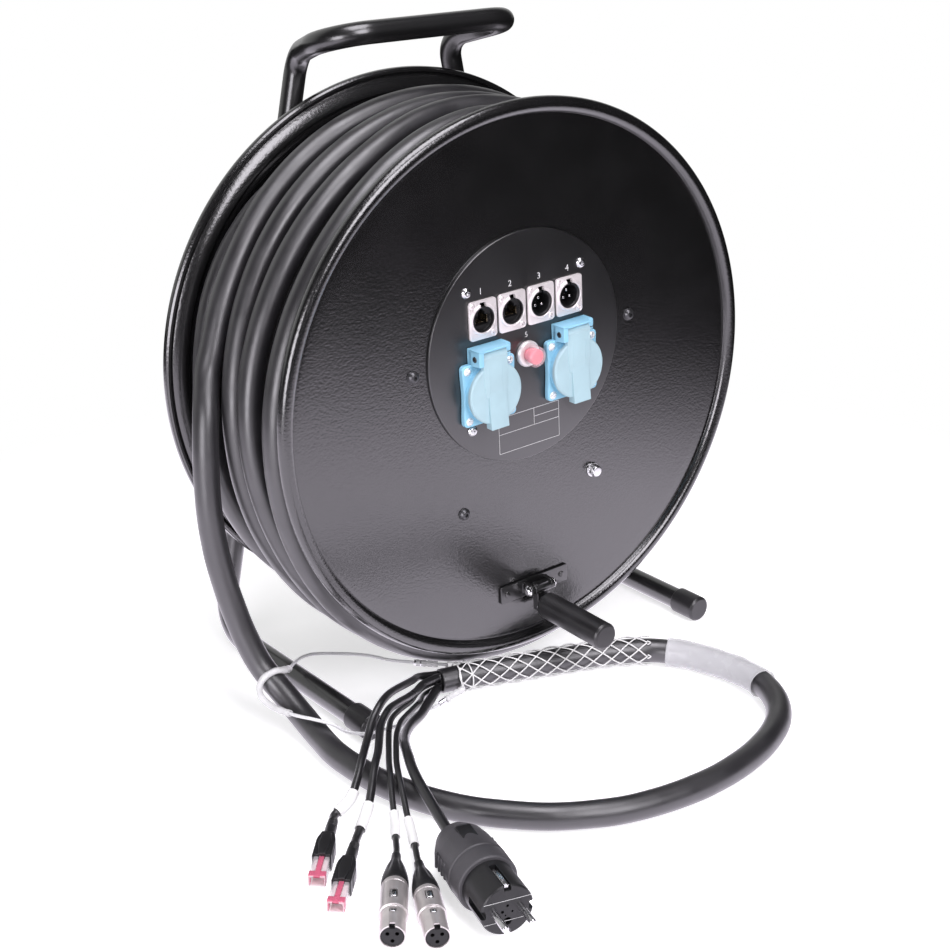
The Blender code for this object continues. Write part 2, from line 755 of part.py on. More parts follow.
def tail_route(name, face, place, route):
    """From the cable's end face, square to it at first."""
    centre, ahead = face
    across = Vector((-ahead.y, ahead.x, 0)).normalized()
    if across.y < 0:
        across = -across
    up = across.cross(ahead)
    if up.z < 0:
        up = -up
    start = centre + ahead * GAP + across * place[0] + up * place[1]
    plug = Vector(route[-1])
    way = level_direction(plug, TAIL_ENDS[name])
    return start, [start + ahead * 4.0] + [Vector(p) for p in route[:-1]] + [
        plug - way * 7.0
    ], plug, way


def build_free_cable(end, before):
    ahead = (end - before).normalized()
    start = end + ahead * GAP
    route = [start, start + ahead * (2 * CABLE_R)] + [Vector(p) for p in CABLE_ROUTE]
    points = [start] + even(smooth_way(route[1:]), 27)
    finish(curve_tube(points, CABLE_R, 3), "free_cable", JACKET, GROUND)

    def run_at(spot):
        best, run, found = 1e9, 0.0, 0.0
        for a, b in zip(points, points[1:]):
            for n in range(8):
                q = a.lerp(b, n / 8)
                d = (q - Vector(spot)).length
                if d < best:
                    best, found = d, run + (b - a).length * n / 8
            run += (b - a).length
        return found

    sleeve = part_of(points, run_at((120, -244, 13)), run_at((98, -157, 13)))
    finish(sleeve_tube(sleeve, 11.2, 1.2, 3), "clear_sleeve", CLEAR_PLASTIC, GROUND)
    grip = part_of(points, run_at((84, -143, 13)), run_at((-70, -82.6, 13)))
    finish(sleeve_tube(grip, 11.2, 1.3, 3), "mesh_grip", WIRE, GROUND)
    return points, (points[-1], (points[-1] - points[-2]).normalized())


ROPE_ROUTE = [
    (-64, -66.5, 14.5), (-76, -58, 15.5), (-88, -49, 17), (-102, -36.9, 18.5),
    (-113, -17.9, 18.5), (-136.2, -0.5, 20), (-156, 0.5, 24.5), (-170, -5.5, 26.5),
    (-184, -20, 32), (-198, -38, 41), (-209.5, -49.5, 48.4), (-217.8, -50.2, 50.8),
    (-224.6, -48.2, 47.2), (-228.2, -46, 40), (-227.4, -44.5, 31.5),
    (-225.4, -49.5, 26), (-222.8, -58, 24.4), (-220.6, -67.5, 24.8),
    (-218, -77, 25), (-214.2, -88, 26), (-207.5, -99.5, 25.6), (-198, -106, 20),
    (-189, -109.5, 15), (-179, -115.4, 12), (-167, -116, 10.4), (-150, -111.5, 6),
    (-135.5, -107.7, 2.8), (-115.5, -98.2, 2.1), (-99, -99.6, 2.1),
    (-86, -99.2, 6), (-72, -100.8, 10),
]


def stand_off(way, around, distance):
    """Keeps a way clear of another tube's axis, moving it straight out."""
    out = []
    for p in way:
        q = min(
            (
                a + (b - a) * min(1.0, max(0.0, (p - a).dot(b - a) / (b - a).length_squared))
                for a, b in zip(around, around[1:])
            ),
            key=lambda spot: (spot - p).length,
        )
        off = p - q
        out.append(q + off.normalized() * distance if off.length < distance else p)
    return out


def build_rope(cable):
    way = stand_off(smooth_way(ROPE_ROUTE, 24), cable[: len(cable) // 2], 14.2)
    points = even(way, 10.0)
    finish(curve_tube(points, 1.5, 1), "grip_rope", WIRE, GROUND)
    total = length_of(points)

    def near(spot):
        runs, run, best = 0.0, 0.0, 1e9
        for a, b in zip(points, points[1:]):
            if (a - Vector(spot)).length < best:
                best, runs = (a - Vector(spot)).length, run
            run += (b - a).length
        return runs

    cover = part_of(points, near((-194, -32, 38)), near((-218.5, -75, 25)))
    finish(sleeve_tube(cover, 1.95, 0.9, 1), "rope_sleeve", CLEAR_PLASTIC, GROUND)
    upper = part_of(points, 8.0, 26.0)
    finish(sleeve_tube(upper, 1.95, 1.0, 1), "rope_ferrule_upper", STEEL, GROUND)
    lower = part_of(points, total - 18.0, total - 2.0)
    finish(sleeve_tube(lower, 1.95, 1.0, 1), "rope_ferrule_lower", STEEL, GROUND)
    return points


MARKERS = {
    "data_tail_1": ((-233.0, -184.5, 15.5), (-250, -191, 8.2)),
    "data_tail_2": ((-233.0, -203.7, 14.1), (-251, -220, 8.2)),
    "audio_tail_1": ((-224.5, -223.5, 13.4), (-238, -245, 10.5)),
    "audio_tail_2": ((-220.5, -235.5, 12.4), (-233.5, -262, 10.3)),
}


def build_tails(face):
    ends = {}
    for name, (radius, step, place, route) in TAILS.items():
        start, way, plug, ahead = tail_route(name, face, place, route)
        points = [start] + even(smooth_way(way), step) + [plug]
        print(name, "mm:", round(length_of(points)))
        level = 3 if radius > 3.5 else 2
        finish(curve_tube(points, radius, level), name, JACKET, GROUND)
        ends[name] = (plug, ahead)
        if name in MARKERS:
            def run_at(spot):
                best, run, found = 1e9, 0.0, 0.0
                for a, b in zip(points, points[1:]):
                    for n in range(8):
                        d = (a.lerp(b, n / 8) - Vector(spot)).length
                        if d < best:
                            best, found = d, run + (b - a).length * n / 8
                    run += (b - a).length
                return found

            a, b = MARKERS[name]
            cover = part_of(points, run_at(a), run_at(b))
            finish(
                sleeve_tube(cover, radius + 0.5, 0.7, 2),
                name.replace("tail", "marker"), WHITE_PLASTIC, GROUND,
            )
    return ends


def build_plugs(ends):
    for n in (1, 2):
        start, way = ends[f"data_tail_{n}"]
        begin = start + way * GAP
        plug = turned([(0, 28), (4.2, 28), (4.2, 12), (3.6, 0), (0, 0)], 14)
        aim(plug, begin, way, f"data_plug_{n}", BLACK_PLASTIC)
        parts = (((13.4, 12.4, 26), 38.0, -0.2, 2.0), ((11.8, 8.2, 25), 61.5, -0.6, 0.0))
        for size, along, up, rounding in parts:
            block = box(size, (0, 0, 0), GROUND, rounding)
            block.location = (begin + way * along + Vector((0, 0, up))) * MM
            block.rotation_euler = (pi / 2, 0, atan2(way.x, -way.y) * 1.0)
            join(plug, block)
        smooth(plug)
    for n in (1, 2):
        start, way = ends[f"audio_tail_{n}"]
        far = TAIL_ENDS[f"audio_tail_{n}"]
        begin = start + way * GAP
        size = (Vector(far).to_2d() - start.to_2d()).length
        plug = turned(
            [
                (0, size - 11), (7.6, size - 11), (7.6, size), (9.2, size),
                (9.2, size - 22), (9.5, size - 23), (9.5, size - 60),
                (8.8, size - 62), (8.0, 18), (3.6, 8), (3.2, 0), (0, 0),
            ],
            18,
        )
        aim(plug, begin, way, f"audio_plug_{n}", NICKEL)
        smooth(plug)
    start, way = ends["power_tail"]
    far = TAIL_ENDS["power_tail"]
    begin = start + way * GAP
    size = (Vector(far).to_2d() - start.to_2d()).length
    plug = turned(
        [
            (0, size), (17.5, size), (19, size - 1.5), (19, size - 30),
            (21.5, size - 31), (21.7, size - 48), (20.0, 22), (14.5, 8),
            (8.0, 2.5), (6.0, 0), (0, 0),
        ],
        22,
    )
    aim(plug, begin, way, "power_plug", RUBBER)
    across = Vector((-way.y, way.x, 0))
    pins = []
    for s in (-1, 1):
        pin = cylinder(2.4, 25, (0, 0, 0), parent=GROUND, sides=12)
        pin.location = (begin + way * (size + 6.5) + across * (s * 9.5)) * MM
        pin.rotation_euler = (pi / 2, 0, atan2(way.x, -way.y))
        pins.append(pin)
    join(plug, merge(pins))
    smooth(plug)


def main():
    build_frame()
    build_drum()
    way = build_winding()
    build_panel()
    build_mains("left", -SOCKET_X)
    build_mains("right", SOCKET_X)
    build_crank()
    cable, face = build_free_cable(way[-1], way[-2])
    rope = build_rope(cable)
    ends = build_tails(face)
    build_plugs(ends)
    print("wound cable on the outer layer, mm:", round(length_of(way)))
    print("least gap of the winding to itself, mm:", round(least_gap(way, CABLE_R), 2))
    print("free cable, mm:", round(length_of(cable)))
    print("rope loop, mm:", round(length_of(rope)))


main()
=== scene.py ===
"""The looks of the hybrid cable drum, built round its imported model.

Lengths are in millimetres until a piece is placed. The ground frame has the
drum's mid plane at y = 0, and the drum frame lies on the axle: x across, y to
the back, and w up, turned with the drum.
"""

from math import acos, atan2, cos, hypot, pi, radians, sin, tan

import bmesh
import bpy
from mathutils import Matrix, Vector


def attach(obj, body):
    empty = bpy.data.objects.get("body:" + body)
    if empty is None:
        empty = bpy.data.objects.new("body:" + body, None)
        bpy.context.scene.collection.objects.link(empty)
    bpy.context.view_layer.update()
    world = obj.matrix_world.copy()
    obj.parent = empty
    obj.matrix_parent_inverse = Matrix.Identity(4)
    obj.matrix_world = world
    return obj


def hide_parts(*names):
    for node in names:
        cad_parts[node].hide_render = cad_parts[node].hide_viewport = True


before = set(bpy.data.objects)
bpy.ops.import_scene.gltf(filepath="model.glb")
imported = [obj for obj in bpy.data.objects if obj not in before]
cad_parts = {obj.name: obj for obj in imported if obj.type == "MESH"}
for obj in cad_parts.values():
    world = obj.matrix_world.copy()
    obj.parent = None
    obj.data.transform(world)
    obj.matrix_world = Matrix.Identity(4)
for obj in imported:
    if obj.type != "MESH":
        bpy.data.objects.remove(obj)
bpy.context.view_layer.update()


def at(x, y, z):
    return Matrix.Translation((x, y, z))


AXLE_Z = 248.0
DRUM_Y = 27.0
TURN = radians(2.8)
GAP = 0.3
SIDES = (-1, 1)
ALONG_Y = Matrix.Rotation(-pi / 2, 4, "X")
ALONG_X = Matrix.Rotation(pi / 2, 4, "Y")
GROUND = Matrix.Scale(0.001, 4) @ at(0, DRUM_Y, 0)
DRUM = GROUND @ at(0, 0, AXLE_Z) @ Matrix.Rotation(-TURN, 4, "Y")
FRONT = DRUM @ Matrix.Rotation(pi / 2, 4, "X")
AXIS = GROUND @ at(0, 0, AXLE_Z) @ ALONG_Y


def new_object(name, data):
    obj = bpy.data.objects.new(name, data)
    bpy.context.scene.collection.objects.link(obj)
    return obj


# Camera


def make_camera():
    data = bpy.data.cameras.new("camera")
    data.sensor_width = 36.0
    data.lens = 68.48
    right = Vector((0.80141, -0.59810, -0.00450))
    up = Vector((0.22604, 0.29590, 0.92809))
    place = Matrix((right, up, right.cross(up))).transposed().to_4x4()
    place.translation = (-0.8317, -1.1110, 0.7106)
    cam = new_object("camera", data)
    cam.matrix_world = place
    bpy.context.scene.camera = cam


make_camera()


# Shapes


def mesh_of(bm):
    bmesh.ops.recalc_face_normals(bm, faces=bm.faces)
    mesh = bpy.data.meshes.new("shape")
    bm.to_mesh(mesh)
    bm.free()
    return mesh


def moved(mesh, place):
    mesh.transform(place)
    return mesh


def polygon(radius, sides, turn=0.0):
    angles = [turn + 2 * pi * k / sides for k in range(sides)]
    return [(radius * cos(a), radius * sin(a)) for a in angles]


def rounded_box(w, h, r, steps=6):
    """The outline of a rectangle with round corners."""
    out = []
    for quarter, (sx, sy) in enumerate(((1, 1), (-1, 1), (-1, -1), (1, -1))):
        for k in range(steps + 1):
            a = radians(90 * quarter + 90 * k / steps)
            out.append((sx * (w / 2 - r) + r * cos(a), sy * (h / 2 - r) + r * sin(a)))
    return out


def fillet(a, b, c, radius, steps, most=1e9):
    """A round bend at b, between the straight lines to a and c."""
    back, ahead = (a - b).normalized(), (c - b).normalized()
    half = acos(max(-1.0, min(1.0, back.dot(ahead)))) / 2
    if not 0.01 <= half <= 0.49 * pi:
        return [b]
    reach = min(radius / tan(half), most)
    centre = b + (back + ahead).normalized() * (reach / cos(half))
    first, last = b + back * reach - centre, b + ahead * reach - centre
    turn = pi - 2 * half
    return [
        centre + (first * sin((1 - n / steps) * turn) + last * sin(n / steps * turn)) / sin(turn)
        for n in range(steps + 1)
    ]


def rounded(corners, steps=4, closed=False):
    """A profile from corners of (radius, height, rounding)."""
    out, last = [], len(corners) - 1
    for k, corner in enumerate(corners):
        p = Vector(corner[:2])
        if len(corner) < 3 or (not closed and k in (0, last)):
            out.append(tuple(p))
            continue
        a, b = Vector(corners[k - 1][:2]), Vector(corners[(k + 1) % (last + 1)][:2])
        most = 0.49 * min((a - p).length, (b - p).length)
        out += [tuple(q) for q in fillet(a, p, b, corner[2], steps, most)]
    return out


def lathe(profile, steps, closed=False):
    """Turned about Z from rows of (radius, height)."""
    bm = bmesh.new()
    rows = []
    for r, h in profile:
        spots = polygon(r, steps) if r > 1e-6 else [(0, 0)]
        rows.append([bm.verts.new((x, y, h)) for x, y in spots])
    for a, b in zip(rows, rows[1:] + rows[:1] * closed):
        if len(a) == len(b) == 1:
            continue
        for k in range(steps):
            j = (k + 1) % steps
            ring = [a[k % len(a)], b[k % len(b)], b[j % len(b)], a[j % len(a)]]
            bm.faces.new([v for i, v in enumerate(ring) if v not in ring[:i]])
    return mesh_of(bm)


def turned(corners, sides, fine=4, ring=False):
    """A turned shape with rounded corners. A ring's profile is closed."""
    return lathe(rounded(corners, fine, ring), sides, ring)


def rod(radius, low, high, sides, x=0.0, y=0.0):
    """An upright cylinder."""
    return moved(lathe([(0, low), (radius, low), (radius, high), (0, high)], sides), at(x, y, 0))


def frames_along(points):
    """A point, two sideways directions and the forward one, along a way."""
    pts = [Vector(p) for p in points]
    last = len(pts) - 1
    side, out = None, []
    for k, p in enumerate(pts):
        ahead = (pts[min(k + 1, last)] - pts[max(k - 1, 0)]).normalized()
        if side is None:
            side = Vector((0, 0, 1)).cross(ahead)
            side = side if side.length > 0.1 else ahead.orthogonal()
        side = (side - ahead * side.dot(ahead)).normalized()
        out.append((p, side, ahead.cross(side), ahead))
    return out


def beside(row, angle, radius):
    """A spot at an angle round a way, for one of its frames."""
    p, side, up, _ = row
    return p + (side * cos(angle) + up * sin(angle)) * radius


def ring_at(bm, row, radius, sides):
    return [bm.verts.new(beside(row, 2 * pi * k / sides, radius)) for k in range(sides)]


def skin(bm, rings):
    """Faces from ring to ring."""
    for a, b in zip(rings, rings[1:]):
        for k in range(len(a)):
            j = (k + 1) % len(a)
            bm.faces.new((a[k], a[j], b[j], b[k]))


def one_each(radius, rows):
    return list(radius) if hasattr(radius, "__len__") else [radius] * len(rows)


def sweep(points, radius, sides=24, rim=0.0, first_rim=True, last_rim=True):
    """A round tube along points. radius may be one number or one for each point."""
    rows = frames_along(points)
    radii = one_each(radius, rows)
    if rim:
        (p, *first), (q, *last) = rows[0], rows[-1]
        inset = [(p + first[2] * rim, *first)] + rows[1:-1] + [(q - last[2] * rim, *last)]
        rows = rows[:1] + inset + rows[-1:]
        radii = [radii[0] - rim * first_rim] + radii + [radii[-1] - rim * last_rim]
    bm = bmesh.new()
    rings = [ring_at(bm, row, r, sides) for row, r in zip(rows, radii)]
    skin(bm, rings)
    bm.faces.new(rings[0][::-1])
    bm.faces.new(rings[-1])
    return mesh_of(bm)


def hollow_tube(points, outer, inner, sides=28):
    """A sleeve round a way, open at both ends."""
    rows = frames_along(points)
    bm = bmesh.new()
    rings = [ring_at(bm, row, r, sides) for row, r in zip(rows, one_each(outer, rows))]
    rings += [ring_at(bm, row, inner, sides) for row in rows[::-1]]
    skin(bm, rings + rings[:1])
    return mesh_of(bm)


def soften(bm, edges, offset, segments):
    if offset:
        bmesh.ops.bevel(
            bm, geom=edges, offset=offset, segments=segments, profile=0.5, affect="EDGES",
            clamp_overlap=True,
        )


def block(size, place=(0, 0, 0), rounding=0.0, segments=3):
    bm = bmesh.new()
    bmesh.ops.create_cube(bm, size=1.0)
    bmesh.ops.scale(bm, vec=size, verts=bm.verts)
    soften(bm, list(bm.edges), rounding, segments)
    bmesh.ops.translate(bm, vec=place, verts=bm.verts)
    return mesh_of(bm)


def prism(outline, low, high, rounding=0.0, segments=3):
    """An outline in x and y, raised from low to high, with its rims rounded."""
    bm = bmesh.new()
    face = bm.faces.new([bm.verts.new((x, y, low)) for x, y in outline])
    raised = bmesh.ops.extrude_face_region(bm, geom=[face])
    top = [v for v in raised["geom"] if isinstance(v, bmesh.types.BMVert)]
    bmesh.ops.translate(bm, vec=(0, 0, high - low), verts=top)
    rims = [e for e in bm.edges if abs(e.verts[0].co.z - e.verts[1].co.z) < 1e-6]
    soften(bm, rims, rounding, segments)
    return mesh_of(bm)


def side_on(mesh, x=0.0, y=0.0):
    """Stands a prism up: its outline in y and z, its thickness along x."""
    return moved(mesh, Matrix(((0, 0, 1, x), (1, 0, 0, y), (0, 1, 0, 0), (0, 0, 0, 1))))


def flat_on(mesh):
    """Lays a prism down: its outline in x and z, its thickness along y."""
    mesh.transform(Matrix(((1, 0, 0, 0), (0, 0, 1, 0), (0, 1, 0, 0), (0, 0, 0, 1))))
    mesh.flip_normals()
    return mesh


def together(*meshes):
    """Several shapes as one mesh."""
    bm = bmesh.new()
    for mesh in meshes:
        bm.from_mesh(mesh)
    out = bpy.data.meshes.new("joined")
    bm.to_mesh(out)
    bm.free()
    return out


def blocks(*rows):
    return together(*[block(*row) for row in rows])


def result_of(obj):
    bpy.context.view_layer.update()
    graph = bpy.context.evaluated_depsgraph_get()
    return bpy.data.meshes.new_from_object(obj.evaluated_get(graph))


def carve(mesh, *tools, kind="DIFFERENCE"):
    """Cuts tools out of a shape, or keeps what they share."""
    body = new_object("body", mesh)
    made = [body]
    for tool in tools:
        helper = new_object("tool", tool)
        made.append(helper)
        mod = body.modifiers.new("cut", "BOOLEAN")
        mod.operation = kind
        mod.object = helper
        mod.solver = "EXACT"
    out = result_of(body)
    for obj in made:
        bpy.data.objects.remove(obj)
    out.materials.clear()
    return out


def words(text, size, depth):
    """Raised figures that face +Z, centred on the origin."""
    curve = bpy.data.curves.new("figure", "FONT")
    curve.body = text
    curve.size = size
    curve.align_x = "CENTER"
    curve.align_y = "CENTER"
    curve.extrude = depth / 2
    curve.resolution_u = 6
    obj = new_object("figure", curve)
    mesh = result_of(obj)
    bpy.data.objects.remove(obj)
    return mesh


def piece(name, mesh, mat, body, place, *nodes, angle=32, slot=None):
    """A finished piece: placed, shaded, on its body, and standing for its nodes."""
    mesh.transform(place)
    if place.determinant() < 0:
        mesh.flip_normals()
    mesh.name = name
    mesh.materials.clear()
    mesh.materials.append(mat)
    mesh.shade_smooth()
    mesh.set_sharp_from_angle(angle=radians(angle))
    obj = new_object(name, mesh)
    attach(obj, body)
    if nodes:
        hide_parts(*nodes)
    return obj


class Group:
    """Pieces that share the start of their names, a body and a place."""

    def __init__(self, label, body, place):
        self.label, self.body, self.place, self.made = label, body, place, []

    def add(self, part, mesh, mat, *nodes, **more):
        name = f"{self.label}_{part}"
        self.made.append(piece(name, mesh, mat, self.body, self.place, *nodes, **more))


# Ways


def bent(points, radii, steps):
    """Straight runs with round bends: the way of a bent tube."""
    spots = [Vector(p) for p in points]
    way = spots[:1]
    for a, b, c, radius in zip(spots, spots[1:], spots[2:], radii):
        way += fillet(a, b, c, radius, steps)
    return way + spots[-1:]


def smooth_way(points, fine=16):
    p = [Vector(q) for q in points]
    p = [2 * p[0] - p[1]] + p + [2 * p[-1] - p[-2]]
    way = []
    for a, b, c, d in zip(p, p[1:], p[2:], p[3:]):
        for t in (n / fine for n in range(fine)):
            bend = (2 * a - 5 * b + 4 * c - d) * t * t + (3 * b - a - 3 * c + d) * t**3
            way.append(0.5 * (2 * b + (c - a) * t + bend))
    return way + [p[-2]]


def length_of(points):
    return sum((b - a).length for a, b in zip(points, points[1:]))


def even(way, step):
    run = [0.0]
    for a, b in zip(way, way[1:]):
        run.append(run[-1] + (b - a).length)
    count = max(2, round(run[-1] / step))
    out, k = [], 0
    for n in range(count + 1):
        s = run[-1] * n / count
        while k < len(way) - 2 and run[k + 1] < s:
            k += 1
        f = (s - run[k]) / max(run[k + 1] - run[k], 1e-9)
        out.append(way[k].lerp(way[k + 1], min(1.0, max(0.0, f))))
    return out


def part_of(points, start, end):
    out, run = [], 0.0
    for a, b in zip(points, points[1:]):
        length = (b - a).length
        for s in (start, end):
            if run <= s < run + length:
                out.append(a.lerp(b, (s - run) / length))
        if start < run + length < end:
            out.append(b.copy())
        run += length
    return out


def run_at(points, spot):
    """How far along a way its nearest point to a spot lies."""
    best, run, found = 1e9, 0.0, 0.0
    for a, b in zip(points, points[1:]):
        d = (a - Vector(spot)).length
        if d < best:
            best, found = d, run
        run += (b - a).length
    return found


def between(points, a, b, step):
    """The stretch of a way from near one spot to near another, in even steps."""
    return even(part_of(points, run_at(points, a), run_at(points, b)), step)


def stand_off(way, around, distance):
    """Keeps a way clear of another one, moving it straight out."""
    out = []
    for p in way:
        near = [
            a + (b - a) * min(1.0, max(0.0, (p - a).dot(b - a) / (b - a).length_squared))
            for a, b in zip(around, around[1:])
        ]
        q = min(near, key=lambda spot: (spot - p).length)
        off = p - q
        out.append(q + off.normalized() * distance if off.length < distance else p)
    return out


def aimed(start, way):
    """Places a shape at start with its z along a level way and its y up."""
    z = Vector(way).normalized()
    x = Vector((0, 0, 1)).cross(z).normalized()
    out = Matrix((x, z.cross(x), z)).transposed().to_4x4()
    out.translation = start
    return GROUND @ out


# Materials


def wire(tree, kind, inputs=None, **settings):
    """A new node. Each input gets a value or another node's output."""
    node = tree.nodes.new(kind)
    for key, value in settings.items():
        setattr(node, key, value)
    for key, value in (inputs or {}).items():
        if isinstance(value, bpy.types.NodeSocket):
            tree.links.new(value, node.inputs[key])
        elif value is not None:
            node.inputs[key].default_value = value
    return node


class Stuff:
    """A procedural material, with its shader and texture nodes at hand."""

    def __init__(self, name, colour, rough, metal=0.0, **sockets):
        self.mat = bpy.data.materials.new(name)
        self.mat.use_nodes = True
        self.tree = self.mat.node_tree
        self.inputs = self.tree.nodes["Principled BSDF"].inputs
        self.colour, self.shine = colour, rough
        sockets.update(Base_Color=(*colour, 1.0), Roughness=rough, Metallic=metal)
        for key, value in sockets.items():
            self.inputs[key.replace("_", " ")].default_value = value
        self.place = wire(self.tree, "ShaderNodeTexCoord").outputs["Object"]

    def noise(self, scale, detail=2.0, rough=0.5, stretch=None):
        source = self.place
        if stretch:
            values = {"Vector": source, "Scale": stretch}
            source = wire(self.tree, "ShaderNodeMapping", values).outputs["Vector"]
        values = {"Vector": source, "Scale": scale, "Detail": detail, "Roughness": rough}
        return wire(self.tree, "ShaderNodeTexNoise", values).outputs["Fac"]

    def ramp(self, source, low, high):
        values = {"Value": source, "From Min": 0.35, "From Max": 0.65, "To Min": low, "To Max": high}
        return wire(self.tree, "ShaderNodeMapRange", values).outputs["Result"]

    def tint(self, source, darker, lighter):
        """The colour wanders between a darker and a lighter one."""
        low = (*(c * darker for c in self.colour), 1.0)
        high = (*(min(1.0, c * lighter) for c in self.colour), 1.0)
        values = {"Factor": self.ramp(source, 0.0, 1.0), "A": low, "B": high}
        mix = wire(self.tree, "ShaderNodeMix", values, data_type="RGBA")
        self.tree.links.new(mix.outputs["Result"], self.inputs["Base Color"])

    def rough(self, source, less, more):
        result = self.ramp(source, self.shine - less, self.shine + more)
        self.tree.links.new(result, self.inputs["Roughness"])

    def bump(self, source, strength, depth, under=None):
        values = {"Height": source, "Strength": strength, "Distance": depth, "Normal": under}
        normal = wire(self.tree, "ShaderNodeBump", values).outputs["Normal"]
        for key in ("Normal", "Coat Normal"):
            self.tree.links.new(normal, self.inputs[key])
        return normal


def paint(name, colour, rough, grain, depth, coat, coat_rough):
    """Thick satin paint with a fine pebbled grain."""
    s = Stuff(
        name, colour, rough, Specular_IOR_Level=0.7, Coat_Weight=coat, Coat_IOR=1.65,
        Coat_Roughness=coat_rough,
    )
    s.tint(s.noise(30, 3), 0.8, 1.35)
    s.rough(s.noise(grain * 0.8, 2), 0.012, 0.012)
    soft = s.bump(s.noise(26, 2), 0.06, 0.0002)
    s.bump(s.noise(grain, 2.0, 0.45, (1.0, 1.3, 1.3)), 0.55, depth, soft)
    return s.mat


def rubber(name, colour, rough, grain=1400, depth=0.00004, spec=0.5, coat=0.0):
    s = Stuff(
        name, colour, rough, Specular_IOR_Level=spec, Coat_Weight=coat, Coat_IOR=1.6,
        Coat_Roughness=rough,
    )
    s.tint(s.noise(14, 4, 0.6), 0.82, 1.25)
    s.rough(s.noise(45, 4, 0.6), 0.07, 0.09)
    s.bump(s.noise(grain, 3), 0.35, depth, s.bump(s.noise(90, 2), 0.12, 0.0002))
    return s.mat


def plastic(name, colour, rough, **more):
    s = Stuff(name, colour, rough, **more)
    s.tint(s.noise(40, 3), 0.95, 1.04)
    s.rough(s.noise(120, 3), 0.04, 0.05)
    s.bump(s.noise(900, 2), 0.12, 0.00003)
    return s.mat


def metal(name, colour, rough, scale=260, more=0.06, share=1.0):
    s = Stuff(name, colour, rough, share)
    s.tint(s.noise(60, 4, 0.6), 0.9, 1.06)
    s.rough(s.noise(scale, 3, 0.6), more, more)
    s.bump(s.noise(scale * 2, 2), 0.06, 0.00003)
    return s.mat


def clear(name, colour, rough, alpha):
    s = Stuff(name, colour, rough, Alpha=alpha)
    s.rough(s.noise(80, 3), 0.06, 0.10)
    s.bump(s.noise(70, 3), 0.25, 0.0004)
    return s.mat


PAINT = paint("black_grain_paint", (0.0042, 0.0041, 0.0043), 0.26, 470, 0.00024, 1.0, 0.18)
TUBE_PAINT = paint("black_tube_paint", (0.0045, 0.0044, 0.0047), 0.34, 620, 0.00007, 0.8, 0.20)
PANEL_PAINT = paint("panel_satin_paint", (0.0060, 0.0060, 0.0064), 0.36, 1500, 0.00005, 1.0, 0.30)
JACKET = rubber("cable_jacket_rubber", (0.0130, 0.0124, 0.0143), 0.40, spec=1.0, coat=0.6)
TAIL_JACKET = rubber("tail_jacket_rubber", (0.010, 0.0096, 0.011), 0.34, spec=0.8, coat=0.3)
INNER_JACKET = rubber("inner_cable_rubber", (0.014, 0.0135, 0.015), 0.5, spec=0.5)
SOFT_RUBBER = rubber("moulded_rubber", (0.050, 0.048, 0.053), 0.50, 900, 0.00008, 0.7)
CAP_RUBBER = rubber("cap_rubber", (0.013, 0.0125, 0.0135), 0.38, 1000, 0.00006, 0.8)
KNOB_BLACK = rubber("knob_soft_black", (0.0125, 0.0120, 0.0130), 0.38, 1500, 0.00005, 0.8)
BLACK = plastic("black_plastic_satin", (0.012, 0.012, 0.013), 0.38)
DARK = plastic("black_insert_plastic", (0.006, 0.006, 0.0065), 0.45)
BLUE = plastic("blue_socket_plastic", (0.28, 0.575, 0.755), 0.36)
BLUE_LID = plastic("blue_lid_plastic", (0.385, 0.545, 0.60), 0.36)
NICKEL = metal("satin_nickel", (0.84, 0.785, 0.79), 0.34, share=0.42)
ZINC = metal("zinc_plated_steel", (0.74, 0.74, 0.75), 0.24, scale=400)
SCREW = metal("bright_screw_steel", (0.86, 0.87, 0.89), 0.30, scale=400, share=0.5)
DARK_STEEL = metal("dark_screw_steel", (0.10, 0.10, 0.105), 0.34, scale=500, share=0.8)
PLUG_METAL = metal("cast_plug_metal", (0.70, 0.66, 0.65), 0.33, scale=120, more=0.02, share=0.7)
CHROME = metal("bright_pin_metal", (0.86, 0.86, 0.86), 0.12, more=0.03)
BRASS = metal("gold_contact", (0.62, 0.52, 0.36), 0.22)
WHITE_WIRE = plastic("coated_white_wire", (0.80, 0.80, 0.79), 0.35)
ROPE = plastic("coated_steel_rope", (0.80, 0.80, 0.81), 0.33, Coat_Weight=0.4)
MARKER = plastic("white_marker_sleeve", (0.86, 0.86, 0.85), 0.5)
# Pale grey for the panel's printed figures and lines, and also for the painted highlight on the power
# plug's seams
PRINT_AND_HIGHLIGHT = plastic("white_print_and_highlight", (0.58, 0.58, 0.58), 0.55)
RED = plastic("red_button_plastic", (0.80, 0.10, 0.16), 0.3)
PINK = plastic("pink_latch_plastic", (0.78, 0.17, 0.28), 0.25, Transmission_Weight=0.25)
CLEAR = clear("clear_shrink_tube", (0.86, 0.86, 0.88), 0.22, 0.42)
HAZE = clear("milky_rope_sleeve", (0.88, 0.88, 0.88), 0.30, 0.62)
BOOT = clear("clear_button_boot", (0.95, 0.72, 0.76), 0.16, 0.30)
GLASSY = clear("clear_plug_plastic", (0.95, 0.88, 0.90), 0.10, 0.40)
PLUG_CORE = plastic("pale_plug_core", (0.85, 0.60, 0.63), 0.3)


# Winding on the drum

